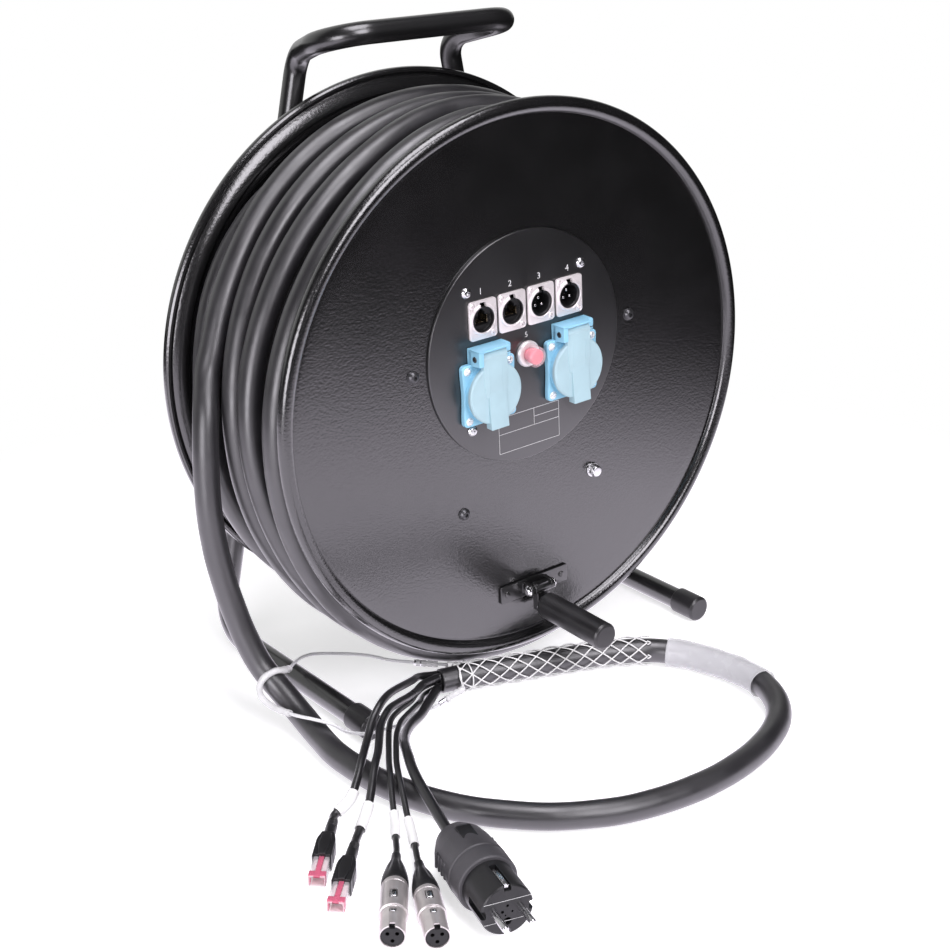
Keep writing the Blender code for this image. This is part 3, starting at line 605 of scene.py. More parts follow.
CORE_R = 184.5
CORE_SAG = 12.5
CABLE_R = 10.0
WINDING_ROUTE = [
    (20, 8.1, -14), (45, 3.9, -21.5), (60, 4.3, -31), (75, 11.5, -37.5), (90, 18.5, -42.5),
    (135, 22, -58), (180, 31.5, -68), (225, 39.5, -69.8), (270, 42.8, -70.5),
    (315, 39.5, -62), (360, 31.5, -46), (405, 25.3, -24), (450, 19, 0), (480, 20, -16),
    (507, 24.5, -24), (540, 31.5, -32), (567, 37, -43), (585, 40.5, -46), (630, 44.5, -43),
    (675, 40.5, -30), (720, 31.5, -10), (765, 22.5, 10), (810, 19, 21.5), (840, 20, 15),
    (867, 24.5, 6), (900, 31.5, -9.5), (920, 36, -15), (945, 40.5, -18), (990, 44.5, -14),
    (1035, 40.5, 0), (1080, 27.5, 15), (1110, 13.5, 26), (1140, 3.5, 34), (1170, 0.3, 40),
    (1186, 0.4, 46.5), (1198, 2.5, 58.5), (1212, 11.5, 62), (1227, 18, 60.5),
    (1260, 22, 53), (1305, 32.5, 52), (1350, 37.5, 54), (1395, 34.5, 56), (1440, 28.5, 57),
    (1485, 23.5, 52), (1530, 21.3, 44), (1545, 21.9, 44), (1558, 22.1, 44.5),
    (1576, 25, 39.5), (1590, 29.5, 30), (1600, 34, 23),
]
WINDING_END = (1608.0, 38.0, 17.5)


def on_drum(angle, rise, y):
    a, r = radians(angle), CORE_R + rise
    return Vector((r * cos(a), y, AXLE_Z + r * sin(a)))


def winding_way(step):
    """The route's rows joined by a smooth rule in the angle."""
    rows = WINDING_ROUTE + [WINDING_END]
    last = len(rows) - 1

    def slope(k, c):
        def lean(i):
            return (rows[i + 1][c] - rows[i][c]) / (rows[i + 1][0] - rows[i][0])

        if k in (0, last):
            return lean(min(k, last - 1))
        a, b = rows[k][0] - rows[k - 1][0], rows[k + 1][0] - rows[k][0]
        return (lean(k - 1) * b + lean(k) * a) / (a + b)

    def value(angle, c):
        k = 0
        while k < last - 1 and rows[k + 1][0] < angle:
            k += 1
        h = rows[k + 1][0] - rows[k][0]
        t = (angle - rows[k][0]) / h
        start = (1 + 2 * t) * (1 - t) ** 2 * rows[k][c] + t * (1 - t) ** 2 * h * slope(k, c)
        return start + t * t * ((3 - 2 * t) * rows[k + 1][c] + (t - 1) * h * slope(k + 1, c))

    first, final = rows[0][0], WINDING_END[0] - 6
    count = round((final - first) / step)
    angles = [first + (final - first) * n / count for n in range(count + 1)]
    return [on_drum(a, value(a, 1), value(a, 2)) for a in angles] + [on_drum(*WINDING_END)]


# Free end of the cable and what is on it

CABLE_ROUTE = [
    (-236, 0, 248), (-239.8, -4, 225), (-242.5, -8, 183.3), (-239.5, -10, 143.4),
    (-232, -14, 102.2), (-222.8, -25, 62.3), (-216.8, -34, 45), (-211, -47, 32),
    (-207, -63, 21), (-206.5, -84, 13.8), (-209, -110, 11), (-210.5, -137, 10.5),
    (-204.5, -186.5, 10.5), (-185, -235, 10.5), (-162, -265, 10.5),
    (-134, -291, 10.5), (-84, -316, 10.5), (-18, -324, 10.5), (46, -313, 10.8),
    (96, -286, 12), (120, -244, 13), (117, -200, 13), (98, -157, 13),
    (66, -132.5, 13), (32, -119, 13), (-20, -101.5, 12.7), (-72, -84.8, 12.8),
    (-84, -83.4, 12.8),
]
# For each tail its radius, its place in the cable's end, its route and its plug's far end
TAILS = {
    "data_tail_1": (3.1, (4.0, 4.6), [
        (-100.5, -79.5, 21), (-120, -93.5, 28.4), (-151.5, -113.3, 38), (-167.5, -124.4, 39.5),
        (-176.8, -129, 36.5), (-185.4, -136.7, 31.5), (-196.5, -147.5, 27.8),
        (-212.8, -165.3, 25.5), (-229, -181, 17.5), (-235.6, -186.8, 14), (-249, -190.3, 8.5),
        (-258, -196, 6.8),
    ], (-307, -252)),
    "data_tail_2": (3.1, (-3.4, 5.8), [
        (-101, -87.6, 19.4), (-125, -104, 23.6), (-159.4, -124.6, 32.4), (-175.4, -135.4, 29.8),
        (-196.3, -162.1, 26.3), (-207.6, -175.0, 25.6), (-215.8, -184.8, 22.6),
        (-229.2, -199.8, 16), (-234.6, -205.4, 13.2), (-250, -219, 8.4), (-262, -230, 6.8),
    ], (-297.5, -268)),
    "audio_tail_1": (2.3, (3.2, -1.8), [
        (-99, -84, 13.2), (-112, -92.3, 16.0), (-126, -103.4, 17.8), (-155.3, -123.8, 24.8),
        (-170.3, -138.2, 25), (-197.8, -178.2, 24), (-206.6, -192.9, 23.5), (-216.2, -208.4, 19),
        (-222.6, -220.0, 14.5), (-226.6, -227.5, 12.5), (-240, -248, 10.3), (-249, -262, 9.9),
    ], (-303.5, -337)),
    "audio_tail_2": (2.3, (2.0, -7.0), [
        (-98.5, -84, 6.9), (-112, -96, 10.4), (-124, -108, 15.2), (-156.3, -133, 22.4),
        (-173, -151.6, 22), (-193.6, -182, 23.3), (-202.6, -198.4, 23.4), (-210.4, -214.4, 19.5),
        (-216.1, -226.0, 14.5), (-222, -238.7, 12), (-235, -265, 10.2), (-242.5, -279, 9.9),
    ], (-281, -355)),
    "power_tail": (4.0, (-5.2, -3.6), [
        (-100, -94, 8.4), (-115, -106.2, 7.3), (-137, -119.5, 8.6), (-160.5, -143.5, 14.5),
        (-180.5, -178, 23.4), (-192, -200.8, 25.8), (-199.5, -221.5, 25.6), (-206.5, -247, 23),
        (-213.3, -269, 22), (-215.8, -279.6, 22),
    ], (-238, -372)),
}
TAIL_STEP = {3.1: 17, 2.3: 15, 4.0: 20}
MARKERS = {
    "data_tail_1": ((-233.0, -184.5, 15.5), (-250, -191, 8.2)),
    "data_tail_2": ((-233.0, -203.7, 14.1), (-251, -220, 8.2)),
    "audio_tail_1": ((-224.5, -223.5, 13.4), (-238, -245, 10.5)),
    "audio_tail_2": ((-220.5, -235.5, 12.4), (-233.5, -262, 10.3)),
}
ROPE_ROUTE = [
    (-64, -66.5, 14.5), (-76, -58, 15.5), (-88, -49, 17), (-102, -36.9, 18.5),
    (-113, -17.9, 18.5), (-136.2, -0.5, 20), (-156, 0.5, 24.5), (-170, -5.5, 26.5),
    (-184, -20, 32), (-198, -38, 41), (-209.5, -49.5, 48.4), (-217.8, -50.2, 50.8),
    (-224.6, -48.2, 47.2), (-228.2, -46, 40), (-227.4, -44.5, 31.5),
    (-225.4, -49.5, 26), (-222.8, -58, 24.4), (-220.6, -67.5, 24.8),
    (-218, -77, 25), (-214.2, -88, 26), (-207.5, -99.5, 25.6), (-198, -106, 20),
    (-189, -109.5, 15), (-179, -115.4, 12), (-167, -116, 10.4), (-150, -111.5, 6),
    (-135.5, -107.7, 2.8), (-115.5, -98.2, 2.1), (-99, -99.6, 2.1),
    (-86, -99.2, 6), (-72, -100.8, 10),
]

winding = winding_way(1.0)
end, before = winding_way(15.0)[:-3:-1]
ahead = (end - before).normalized()
cable_start = end + ahead * GAP
cable_rows = [cable_start + ahead * (2 * CABLE_R)] + CABLE_ROUTE
cable_nodes = [cable_start] + even(smooth_way(cable_rows), 27)
cable_way = even(smooth_way(cable_nodes, 10), 3.0)


def cord_tube(points, radius, sides, **ends):
    """A soft round jacket that isn't quite even along its length."""
    out = []
    for k in range(len(points)):
        wave = sin(k * 0.37) * sin(k * 0.113 + 1.0) + 0.5 * sin(k * 0.071 + 2.0)
        out.append(radius * (1 + 0.008 * wave))
    return sweep(points, out, sides, rim=0.6, **ends)


free_cable = piece(
    "free_cable_jacket", cord_tube([end] + cable_way, CABLE_R, 32, first_rim=False), JACKET,
    "frame", GROUND, "free_cable",
)


def build_clear_sleeve():
    """A heat-shrunk clear film, loose and creased where it bends."""
    rows = frames_along(between(cable_way, (120, -244, 13), (98, -157, 13), 1.4))
    sides, film_r = 48, 11.55
    bm = bmesh.new()
    rings = []
    for k, row in enumerate(rows):
        f = k / (len(rows) - 1)
        lip = 0.5 * max(0.0, 1 - min(f, 1 - f) * 40)
        ring = []
        for j in range(sides):
            a = 2 * pi * j / sides
            fold = (
                0.30 * sin(3 * a + 9 * f) * sin(13 * f + a)
                + 0.22 * sin(61 * f + 2.2 * sin(a)) * (0.5 + 0.5 * cos(a + 2.0))
                + 0.12 * sin(7 * a - 23 * f)
            )
            ring.append(bm.verts.new(beside(row, a, film_r + fold + lip)))
        rings.append(ring)
    skin(bm, rings)
    film = piece("clear_film_sleeve", mesh_of(bm), CLEAR, "frame", GROUND, "clear_sleeve", angle=60)
    thick = film.modifiers.new("wall", "SOLIDIFY")
    thick.thickness = 0.00035
    thick.offset = -1
    return film


def build_mesh_grip():
    """Crossing wires, joined by bends at the far end and gathered at the near one."""
    way = between(cable_way, (84, -143, 13), (-70, -82.6, 13), 1.5)
    rows = frames_along(way)
    last, total = len(rows) - 1, length_of(way)
    count, lead, thick = 6, 98.0, 0.58
    wires = []
    for sign in (1, -1):
        for n in range(count):
            line = []
            for k, row in enumerate(rows):
                run = total * k / last
                cross = 0.275 * sign * cos(2 * pi * count * run / lead)
                flare = 0.35 + 0.5 * max(0.0, (run - total + 22) / 22) ** 2
                line.append(beside(row, 2 * pi * (n / count + sign * run / lead), 11.2 + flare + cross))
            wires.append(sweep(line, thick, 8, rim=0.2))
    # Bends at the end towards the drum
    for n in range(count):
        line = []
        for f in (k / 8 for k in range(9)):
            a = 2 * pi * n / count + (f - 0.5) * 0.30
            line.append(beside(rows[0], a, 11.6) - rows[0][3] * (2.6 * sin(pi * f)))
        wires.append(sweep(line, thick, 8))
    # Ties from the near end to the rope
    centre, t = rows[-1][0], rows[-1][3]
    for goal in (Vector(ROPE_ROUTE[0]), Vector(ROPE_ROUTE[-1])):
        for n in range(count):
            rim = beside(rows[-1], 2 * pi * n / count, 12.0)
            if (rim - goal).length > 21:
                continue
            mid = rim.lerp(goal, 0.55) + (rim - centre).normalized() * 1.5 + t * 2.0
            tie = even(smooth_way([rim - t * 1.5, rim, mid, goal]), 1.5)
            wires.append(sweep(tie, thick, 8, rim=0.2))
    # Bands of wire wound round the gathered end
    for row, lean in ((rows[last], 0.2), (rows[last - 6], -0.25)):
        angles = [2 * pi * k / 48 for k in range(49)]
        line = [beside(row, a, 12.0) + row[3] * (4.0 * lean * cos(a)) for a in angles]
        wires.append(sweep(line, thick, 8))
    return piece(
        "mesh_grip_wires", together(*wires), WHITE_WIRE, "frame", GROUND, "mesh_grip", angle=60,
    )


build_clear_sleeve()
build_mesh_grip()


def strands(points, count, radius, thick, lead):
    """A laid wire rope along a way."""
    way = even(points, 1.2)
    rows = frames_along(way)
    runs = [length_of(way[: k + 1]) for k in range(len(way))]
    lines = [
        [beside(row, 2 * pi * (run / lead + n / count), radius) for row, run in zip(rows, runs)]
        for n in range(count)
    ]
    return together(*[sweep(line, thick, 8) for line in lines])


def build_rope():
    first_way = stand_off(smooth_way(ROPE_ROUTE, 24), cable_nodes[: len(cable_nodes) // 2], 14.2)
    way = even(smooth_way(even(first_way, 10.0), 8), 1.2)
    total, bore = length_of(way), 1.95
    rope = piece(
        "grip_rope_strands", strands(way, 6, 0.86, 0.56, 13.0), ROPE, "frame", GROUND,
        "grip_rope", angle=60,
    )
    parts = Group("rope", "frame", GROUND)
    cover = between(way, (-194, -32, 38), (-218.5, -75, 25), 1.2)
    radii = [2.65 + 0.22 * sin(k * 0.55) * sin(k * 0.21 + 0.4) for k in range(len(cover))]
    parts.add("loop_sleeve", hollow_tube(cover, radii, bore, 24), HAZE, "rope_sleeve", angle=60)
    for name, a, b in (("upper", 8.0, 26.0), ("lower", total - 18.0, total - 2.0)):
        run = even(part_of(way, a, b), 0.6)
        size = []
        for f in (k / (len(run) - 1) for k in range(len(run))):
            pinch = 0.5 * sum(max(0.0, 1 - abs(f - c) * 14) for c in (0.22, 0.5, 0.78))
            size.append(2.85 - pinch)
        crimp = hollow_tube(run, size, bore, 20)
        parts.add(f"ferrule_{name}_crimp", crimp, HAZE, f"rope_ferrule_{name}", angle=60)
    # Small crimps that hold the rope's ends beside it
    ends = (((-80, -55, 16), (-86, -50.5, 16.8)), ((-96, -99.5, 2.6), (-90, -99.4, 4.5)))
    for n, (a, b) in enumerate(ends, 1):
        collar = hollow_tube(between(way, a, b, 0.6), 2.5, 1.7, 20)
        parts.add(f"crimp_{n}", collar, ZINC, angle=40)


build_rope()


# Plugs and tails


def grooved(profile, heights, depth, width):
    """Adds fine grooves at given heights to a turned profile's straight runs."""
    out = profile[:1]
    for (r0, h0), (r1, h1) in zip(profile, profile[1:]):
        step = width / 2 if h1 > h0 else -width / 2
        for g in sorted(heights, reverse=h1 < h0):
            if min(h0, h1) + width < g < max(h0, h1) - width:
                lean = (r1 - r0) / (h1 - h0)
                rims = [(r0 + lean * (h - h0), h) for h in (g - step, g + step)]
                floor_r = r0 + lean * (g - h0) - depth
                out += [rims[0], (floor_r, g - step * 0.4), (floor_r, g + step * 0.4), rims[1]]
        out.append((r1, h1))
    return out


def data_plug(n, begin, way):
    plug = Group(f"data_plug_{n}", "frame", aimed(begin, way))
    profile = rounded([(0, 0), (3.5, 0, 0.5), (4.1, 11, 1), (4.1, 29), (0, 29)])
    boot = lathe(grooved(profile, [3, 5.2, 7.4, 9.6], 0.45, 1.2), 40)
    # The housing widens from the boot and ends in two side wings
    half = [(-4.2, 22), (-6.2, 29), (-6.7, 33), (-6.7, 52.5), (-5.9, 53.5), (-5.5, 50.5)]
    body = flat_on(prism(half + [(-x, z) for x, z in half[::-1]], -6.2, 5.6, 1.0))
    half = [(-3.4, 26), (-4.3, 38), (-2.2, 51)]
    hood = flat_on(prism(half + [(-x, z) for x, z in half[::-1]], 5.0, 6.7, 0.6))
    ribs = blocks(*[((0.7, 8.2, 12), (s * 6.75, -0.5, 40), 0.3) for s in SIDES])
    plug.add("housing", together(boot, body, hood, ribs), BLACK, f"data_plug_{n}")
    shell = carve(
        block((11.7, 8.2, 24), (0, -0.6, 61.9), 0.5), block((9.8, 6.4, 23), (0, -0.8, 64.5), 0.3),
        block((4.4, 3.0, 30), (0, 3.2, 60)),
    )
    plug.add("clear", shell, GLASSY)
    contacts = [((0.55, 0.5, 9), (k * 1.02 - 3.57, -4.35, 67.5), 0.1) for k in range(8)]
    plug.add("core", blocks(((9.2, 5.2, 14), (0, -1.2, 57.5), 0.6), *contacts), PLUG_CORE)
    latch = blocks(
        ((3.6, 1.1, 25), (0, 3.5, 61.5), 0.35), ((10.9, 4.9, 1.0), (0, -0.4, 66.4), 0.3),
        ((11.9, 1.2, 5.6), (0, 3.4, 70.6), 0.4),
        *[((1.2, 7.6, 5.6), (s * 5.35, -0.6, 70.6), 0.3) for s in SIDES],
    )
    plug.add("latch", latch, PINK)
    return plug.made


def fluted_boot():
    """An audio plug's boot, with six flutes on its taper."""
    heights = [0, 0.6, 3, 8, 12, 18, 22, 26, 30, 33, 34.5]
    widths = [2.7, 3.2, 3.4, 3.7, 4.9, 6.7, 7.5, 8.3, 9.0, 9.3, 9.3]
    bm = bmesh.new()
    rows = []
    for h, r in zip(heights, widths):
        deep = 0.75 * max(0.0, 1 - abs(h - 20) / 14)
        row = []
        for a in (2 * pi * k / 96 for k in range(96)):
            flute = r - deep * max(0.0, cos(6 * a)) ** 2
            row.append(bm.verts.new((flute * cos(a), flute * sin(a), h)))
        rows.append(row)
    skin(bm, rows)
    bm.faces.new(rows[0])
    bm.faces.new(rows[-1])
    return mesh_of(bm)


def audio_plug(n, begin, way, size):
    plug = Group(f"audio_plug_{n}", "frame", aimed(begin, way))
    collar = [(8.4, 33.5), (9.35, 33.5, 0.4), (9.35, 38.2, 0.4), (8.4, 38.2)]
    plug.add("boot", together(fluted_boot(), turned(collar, 72, ring=True)), BLACK, angle=40)
    shell = turned([
        (8.3, 37), (9.0, 38.2, 0.3), (9.0, 40, 0.2), (9.35, 40.3, 0.2), (9.35, 42, 0.2),
        (9.1, 42.2, 0.1), (9.1, 43, 0.1), (9.45, 43.3, 0.2), (9.5, size - 24.6, 0.4),
        (10.0, size - 24.2, 0.3), (10.0, size - 22.4, 0.3), (8.75, size - 22.0, 0.3),
        (8.75, size, 0.35), (7.75, size, 0.2), (7.75, size - 14), (7.0, size - 14), (7.0, 37),
    ], 96, 3, True)
    shell = carve(
        shell, block((5.2, 8, 9.0), (0, 9.5, size - 35), 0.8),
        block((4.4, 6, 4.2), (0, 9.0, size - 17.6), 0.6), block((4.0, 6, 7.0), (0, 9.0, size), 0.4),
    )
    plug.add("shell", shell, PLUG_METAL, f"audio_plug_{n}")
    latch = blocks(
        ((4.2, 2.6, 7.6), (0, 8.4, size - 35), 0.9, 4), ((3.4, 1.4, 3.2), (0, 8.0, size - 17.6), 0.5),
    )
    plug.add("latch", latch, ZINC, slot="nickel")
    insert = turned([(0, size - 14), (7.7, size - 14), (7.7, size - 0.9, 0.4), (0, size - 0.9)], 64)
    holes = [rod(1.35, size - 12, size + 4, 24, *p) for p in polygon(3.6, 3, radians(30))]
    insert = carve(insert, *holes, block((3.6, 4, 9), (0, 7.6, size), 0.3))
    plug.add("insert", insert, DARK)
    return plug.made


def power_plug(begin, way, size):
    plug = Group("power_plug", "frame", aimed(begin, way))
    body = turned([
        (0, 0), (5.2, 0, 1.0), (8.5, 2.0, 1.5), (14.2, 7.5, 4), (18.8, 17, 6), (20.4, 27, 8),
        (21.6, size - 50, 3), (21.8, size - 47, 0.8), (21.1, size - 46.2, 0.4),
        (21.1, size - 44.2, 0.4), (21.7, size - 43.4, 0.8), (21.5, size - 31.6, 1.5),
        (20.6, size - 30.6, 0.5), (19.2, size - 30.6), (0, size - 30.6),
    ], 144, 5)
    # The sides bulge a little, and it is flatter over and under
    for v in body.vertices:
        if hypot(v.co.x, v.co.y) > 8 and 10 < v.co.z < size - 48:
            a = atan2(v.co.y, v.co.x)
            side = max(0.0, abs(cos(a)) - 0.72) / 0.28
            top = max(0.0, abs(sin(a)) - 0.8) / 0.2
            fade = min(1.0, (v.co.z - 10) / 14, (size - 48 - v.co.z) / 6)
            k = 1 - 0.05 * top * fade + 0.012 * side * fade
            v.co = (v.co.x * k, v.co.y * k, v.co.z)
    ridges = blocks(
        *[((1.6, 13, 2.6), (s * 20.6, 0, z), 0.8) for s in SIDES for z in (24, 29, 34, 39)],
    )
    plug.add("body", together(body, ridges), SOFT_RUBBER, "power_plug", angle=40)
    plug.add("badge", block((11, 0.8, 15), (0, 19.4, 28), 0.35), BLACK)
    front = turned(
        [(0, size - 34), (18.6, size - 34), (18.6, size - 1.2, 1.0), (17.6, size, 0.6), (0, size)], 96,
    )
    tools = [block((5.0, 9.0, 34), (0, s * 19.0, size - 8), 0.4) for s in SIDES]
    tools += [block((9, 6, 30), (s * 19.6, 0, size - 5), 0.8) for s in SIDES]
    tools.append(rod(2.9, size - 8, size + 4, 32, 0, -8.2))
    for x, y, r in ((0, 3.5, 1.0), (-3.6, -0.5, 1.1), (3.4, -1.5, 0.8), (-1.5, -3.5, 0.6)):
        tools.append(rod(r, size - 3, size + 3, 20, x, y))
    plug.add("face", carve(front, *tools), BLACK)
    pin = [(0, size - 4), (2.4, size - 4), (2.4, size + 19, 1.9), (0, size + 19)]
    pins = [moved(turned(pin, 40, 6), at(s * 9.5, 0, 0)) for s in SIDES]
    clips = [((3.4, 1.0, 17), (0, s * 17.6, size - 11.5), 0.35) for s in SIDES]
    clips += [((3.4, 2.4, 1.6), (0, s * 16.9, size - 2.6), 0.4) for s in SIDES]
    plug.add("pins", together(*pins, blocks(*clips)), ZINC, slot="nickel")
    # Thin raised seams across the black face, coloured pale: a painted highlight where light catches them
    seam_highlight = [((33.0, 0.35, 0.35), (0, s * 7.6, size + 0.02), 0.1) for s in (1, -1)]
    plug.add("seam_highlight", blocks(*seam_highlight), PRINT_AND_HIGHLIGHT, slot="black_plastic")
    return plug.made


def build_tails():
    centre, back = cable_nodes[-1], cable_nodes[-2]
    ahead = (centre - back).normalized()
    across = Vector((-ahead.y, ahead.x, 0)).normalized()
    across = -across if across.y < 0 else across
    up = across.cross(ahead)
    up = -up if up.z < 0 else up
    for name, (radius, place, route, far) in TAILS.items():
        start = centre + ahead * GAP + across * place[0] + up * place[1]
        plug = Vector(route[-1])
        way = Vector((far[0] - plug.x, far[1] - plug.y, 0)).normalized()
        rows = [start + ahead * 4.0] + route[:-1] + [plug - way * 7.0]
        nodes = [start] + even(smooth_way(rows), TAIL_STEP[radius]) + [plug]
        # The jacket runs on into the plug's boot
        points = even(smooth_way(nodes + [plug + way * 12.0], 10), 2.0)
        jacket = cord_tube(points, radius, 24)
        tail = piece(f"{name}_jacket", jacket, TAIL_JACKET, "frame", GROUND, name)
        size = (Vector(far) - plug.to_2d()).length
        begin = plug + way * GAP
        if name.startswith("data"):
            on_it = data_plug(name[-1], begin, way)
        elif name.startswith("audio"):
            on_it = audio_plug(name[-1], begin, way, size)
        else:
            on_it = power_plug(begin, way, size)
        if name in MARKERS:
            cover = hollow_tube(between(points, *MARKERS[name], 1.5), radius + 1.2, radius + 0.5)
            marker = name.replace("tail", "marker")
            label = name.replace("_tail", "") + "_marker"
            on_it.append(piece(label, cover, MARKER, "frame", GROUND, marker))


build_tails()


# Heads of screws


def socket_head(radius, height, key, deep, place, base):
    """A button head with a hexagon socket, standing on z = base."""
    top = base + height
    head = turned([
        (0, base - 1), (radius, base - 1), (radius, base + height * 0.35, 0.2),
        (radius * 0.72, base + height * 0.9, radius * 0.5), (radius * 0.5, top, 0.3), (0, top),
    ], 48, 5)
    hexagon = prism(polygon(key / 2 / cos(pi / 6), 6, 0.3), top - deep, top + 2)
    return moved(carve(head, hexagon), place)


def cross_head(radius, height, place, base):
    """A domed screw head with a cross recess."""
    top = base + height
    head = turned([
        (0, base - 1), (radius, base - 1), (radius, base + height * 0.25, 0.1),
        (radius * 0.6, top, radius * 0.6), (0, top),
    ], 48, 6)
    long, short = radius * 1.15, radius * 0.26
    cuts = [block((x, y, 2.2), (0, 0, top), 0.05) for x, y in ((long, short), (short, long))]
    return moved(carve(head, *cuts), place)


def spun(x, y, angle):
    """A spot on the panel, turned about its own axis."""
    return at(x, y, 0) @ Matrix.Rotation(angle, 4, "Z")


# Drum

FLANGE_R = 225.0
BEAD_R = 6.0
HUB_R = 119.4
HUB_WALL = 2.4
BOLT_CIRCLE = HUB_R - HUB_WALL - 5.5
OPENING_R = 70.5
PANEL_W = 33.6
PANEL_TOP = 89.45
SIGNAL_X = (-42, -14, 14, 42)
SIGNAL_W = 66
MAINS_X = {"left": -41.0, "right": 41.0}
MAINS_W = 9
BREAKER_W = 28


def flange_rows(inner, face):
    """Profile of a flange as (radius, height): face is 1 where the outside is up."""
    rows = [(inner, 87.0), (60, 87.0), (140, 87.0), (200, 87.0), (209.5, 87.0), (211.2, 86.85),
            (212.2, 86.55), (212.8, 86.6)]
    for k in range(31 if face > 0 else 18):
        a = radians(168) * (1 - 2 * k / 30)
        rows.append((FLANGE_R - BEAD_R + BEAD_R * cos(a), 86.0 + BEAD_R * sin(a)))
    if face > 0:
        rows += [(213.0, 84.9), (211.0, 84.55), (204.0, 84.15)]
    else:
        # Seen from the winding, the rim curls away from a low ridge
        rows += [(224.2, 83.9), (222.9, 82.7), (221.2, 82.5), (219.8, 83.3), (219.2, 84.0),
                 (218.4, 84.0), (217.2, 83.1), (215.0, 81.9), (212.4, 80.9), (209.6, 80.2),
                 (207.4, 79.95), (206.4, 80.3), (205.8, 81.2), (205.2, 82.4), (204.2, 82.9)]
    rows += [(202.6, 82.6), (201.0, 82.4), (199.9, 82.7), (199.0, 83.4), (198.2, 84.5),
             (196.5, 85.0), (140, 85.0), (60, 85.0), (inner, 85.0)]
    return [(r, face * h) for r, h in rows]


def build_drum():
    hole = rod(OPENING_R, 80, 92, 128, 0, PANEL_W)
    front = carve(lathe(flange_rows(0.0, 1), 288), hole)
    piece("front_flange_sheet", front, PAINT, "drum", FRONT, "front_flange", angle=24)
    back = lathe(flange_rows(17.0, -1), 288, True)
    piece("back_flange_sheet", back, PAINT, "drum", FRONT, "back_flange", angle=24)

    wall = HUB_R - HUB_WALL
    hub = turned([(HUB_R, 84.7), (HUB_R, -84.7), (wall, -84.7), (wall, 84.7)], 160, ring=True)
    piece("hub_tube_wall", hub, PAINT, "drum", DRUM @ ALONG_Y, "hub_tube")
    bearing = turned([
        (16.5, 92, 0.5), (16.5, 84.7), (40, 84.7, 0.5), (40, 80.7, 0.5), (16.5, 80.7, 1.0),
        (16.5, -30, 0.4), (10.3, -30), (10.3, 92),
    ], 96, ring=True)
    piece("bearing_tube_turned", bearing, ZINC, "drum", DRUM @ ALONG_Y, "bearing_tube")

    for n, angle in enumerate((90, 162, 234, 306, 18), 1):
        place = at(BOLT_CIRCLE * cos(radians(angle)), BOLT_CIRCLE * sin(radians(angle)), 0)
        stem = moved(lathe([(0, 87), (3, 87), (3, -87), (0, -87)], 24), place)
        parts = [stem, socket_head(5.0, 4.0, 3.2, 2.2, place @ Matrix.Rotation(pi, 4, "X"), 87.3)]
        mat = DARK_STEEL
        if angle == 306:
            mat = ZINC
            washer = turned([(0, 87), (6.0, 87), (6.0, 88.3, 0.3), (0, 88.3)], 48)
            dome = turned(
                [(6.2, 86), (6.2, 89.0), (4.6, 92.8, 0.6), (4.2, 94.1, 1.0), (0, 94.3)], 48, 5,
            )
            nut = carve(prism(polygon(5.3, 6, 0.2), 88.2, 94.2, 0.2), dome, kind="INTERSECT")
            parts += [moved(washer, place), moved(nut, place)]
        elif angle != 90:
            washer = turned([(0, 87), (5.0, 87), (5.0, 87.8, 0.25), (0, 87.8)], 48)
            parts += [moved(washer, place), socket_head(4.6, 3.2, 3.0, 1.8, place, 87.5)]
        name = f"tie_bolt_{n}"
        piece(f"{name}_fastener", together(*parts), mat, "drum", FRONT, name, slot="zinc_steel")


def build_winding():
    outer = cord_tube(even(winding, 3.2), CABLE_R, 32, last_rim=False)
    piece("wound_cable_outer", outer, JACKET, "drum", GROUND, "cable_winding")
    steps, radius = 8 * 90, CORE_R - CABLE_R
    inner = []
    for k in range(steps + 1):
        a = 2 * pi * k / 90
        inner.append((radius * cos(a), -70 + 140 * k / steps, AXLE_Z - CORE_SAG - radius * sin(a)))
    low = HUB_R + 0.9
    bed = [(low, 80), (164, 80), (168, 79), (168, -79), (164, -80), (low, -80)]
    bed = moved(lathe(bed, 96, True), at(0, 0, AXLE_Z) @ ALONG_Y)
    coil = sweep(inner, CABLE_R, 24)
    piece("wound_cable_inner", together(coil, bed), INNER_JACKET, "drum", GROUND, "winding_core")


# Socket panel


def build_panel():
    disc = turned([(0, 87.3), (93, 87.3), (93, 89.4, 0.8), (0, 89.4)], 256, 5)
    tools = [rod(12.2, 80, 95, 40, x, SIGNAL_W - PANEL_W) for x in SIGNAL_X]
    tools += [rod(21.5, 80, 95, 48, x, MAINS_W - PANEL_W) for x in MAINS_X.values()]
    tools.append(rod(7.6, 80, 95, 32, 0, BREAKER_W - PANEL_W))
    place = FRONT @ at(0, PANEL_W, 0)
    piece("panel_disc_sheet", carve(disc, *tools), PANEL_PAINT, "drum", place, "panel_disc")
    heads = [
        socket_head(4.2, 2.7, 2.6, 1.6, spun(x, PANEL_W + w, x + w), 89.2)
        for x in (-55.5, 55.5) for w in (-55.5, 55.5)
    ]
    piece("panel_screws", together(*heads), ZINC, "drum", FRONT)
    thick, line = 0.16, 0.38
    rows = [(str(n), x, 87.5, 7.0) for n, x in enumerate(SIGNAL_X, 1)] + [("5", 0, 43.2, 6.0)]
    figures = [moved(words(n, size, thick), at(x, w, PANEL_TOP)) for n, x, w, size in rows]
    lines = [
        (60.0, line, 0, -19), (60.0, line, 0, -49), (line, 30.0, -30, -34), (line, 30.0, 30, -34),
        (60.0, line, 0, -33), (line, 14.0, 5, -26), (25.0, line, 17.5, -26),
    ]
    figures += [block((w, h, thick), (x, y, PANEL_TOP)) for w, h, x, y in lines]
    piece("panel_figures", together(*figures), PRINT_AND_HIGHLIGHT, "drum", FRONT, angle=60)


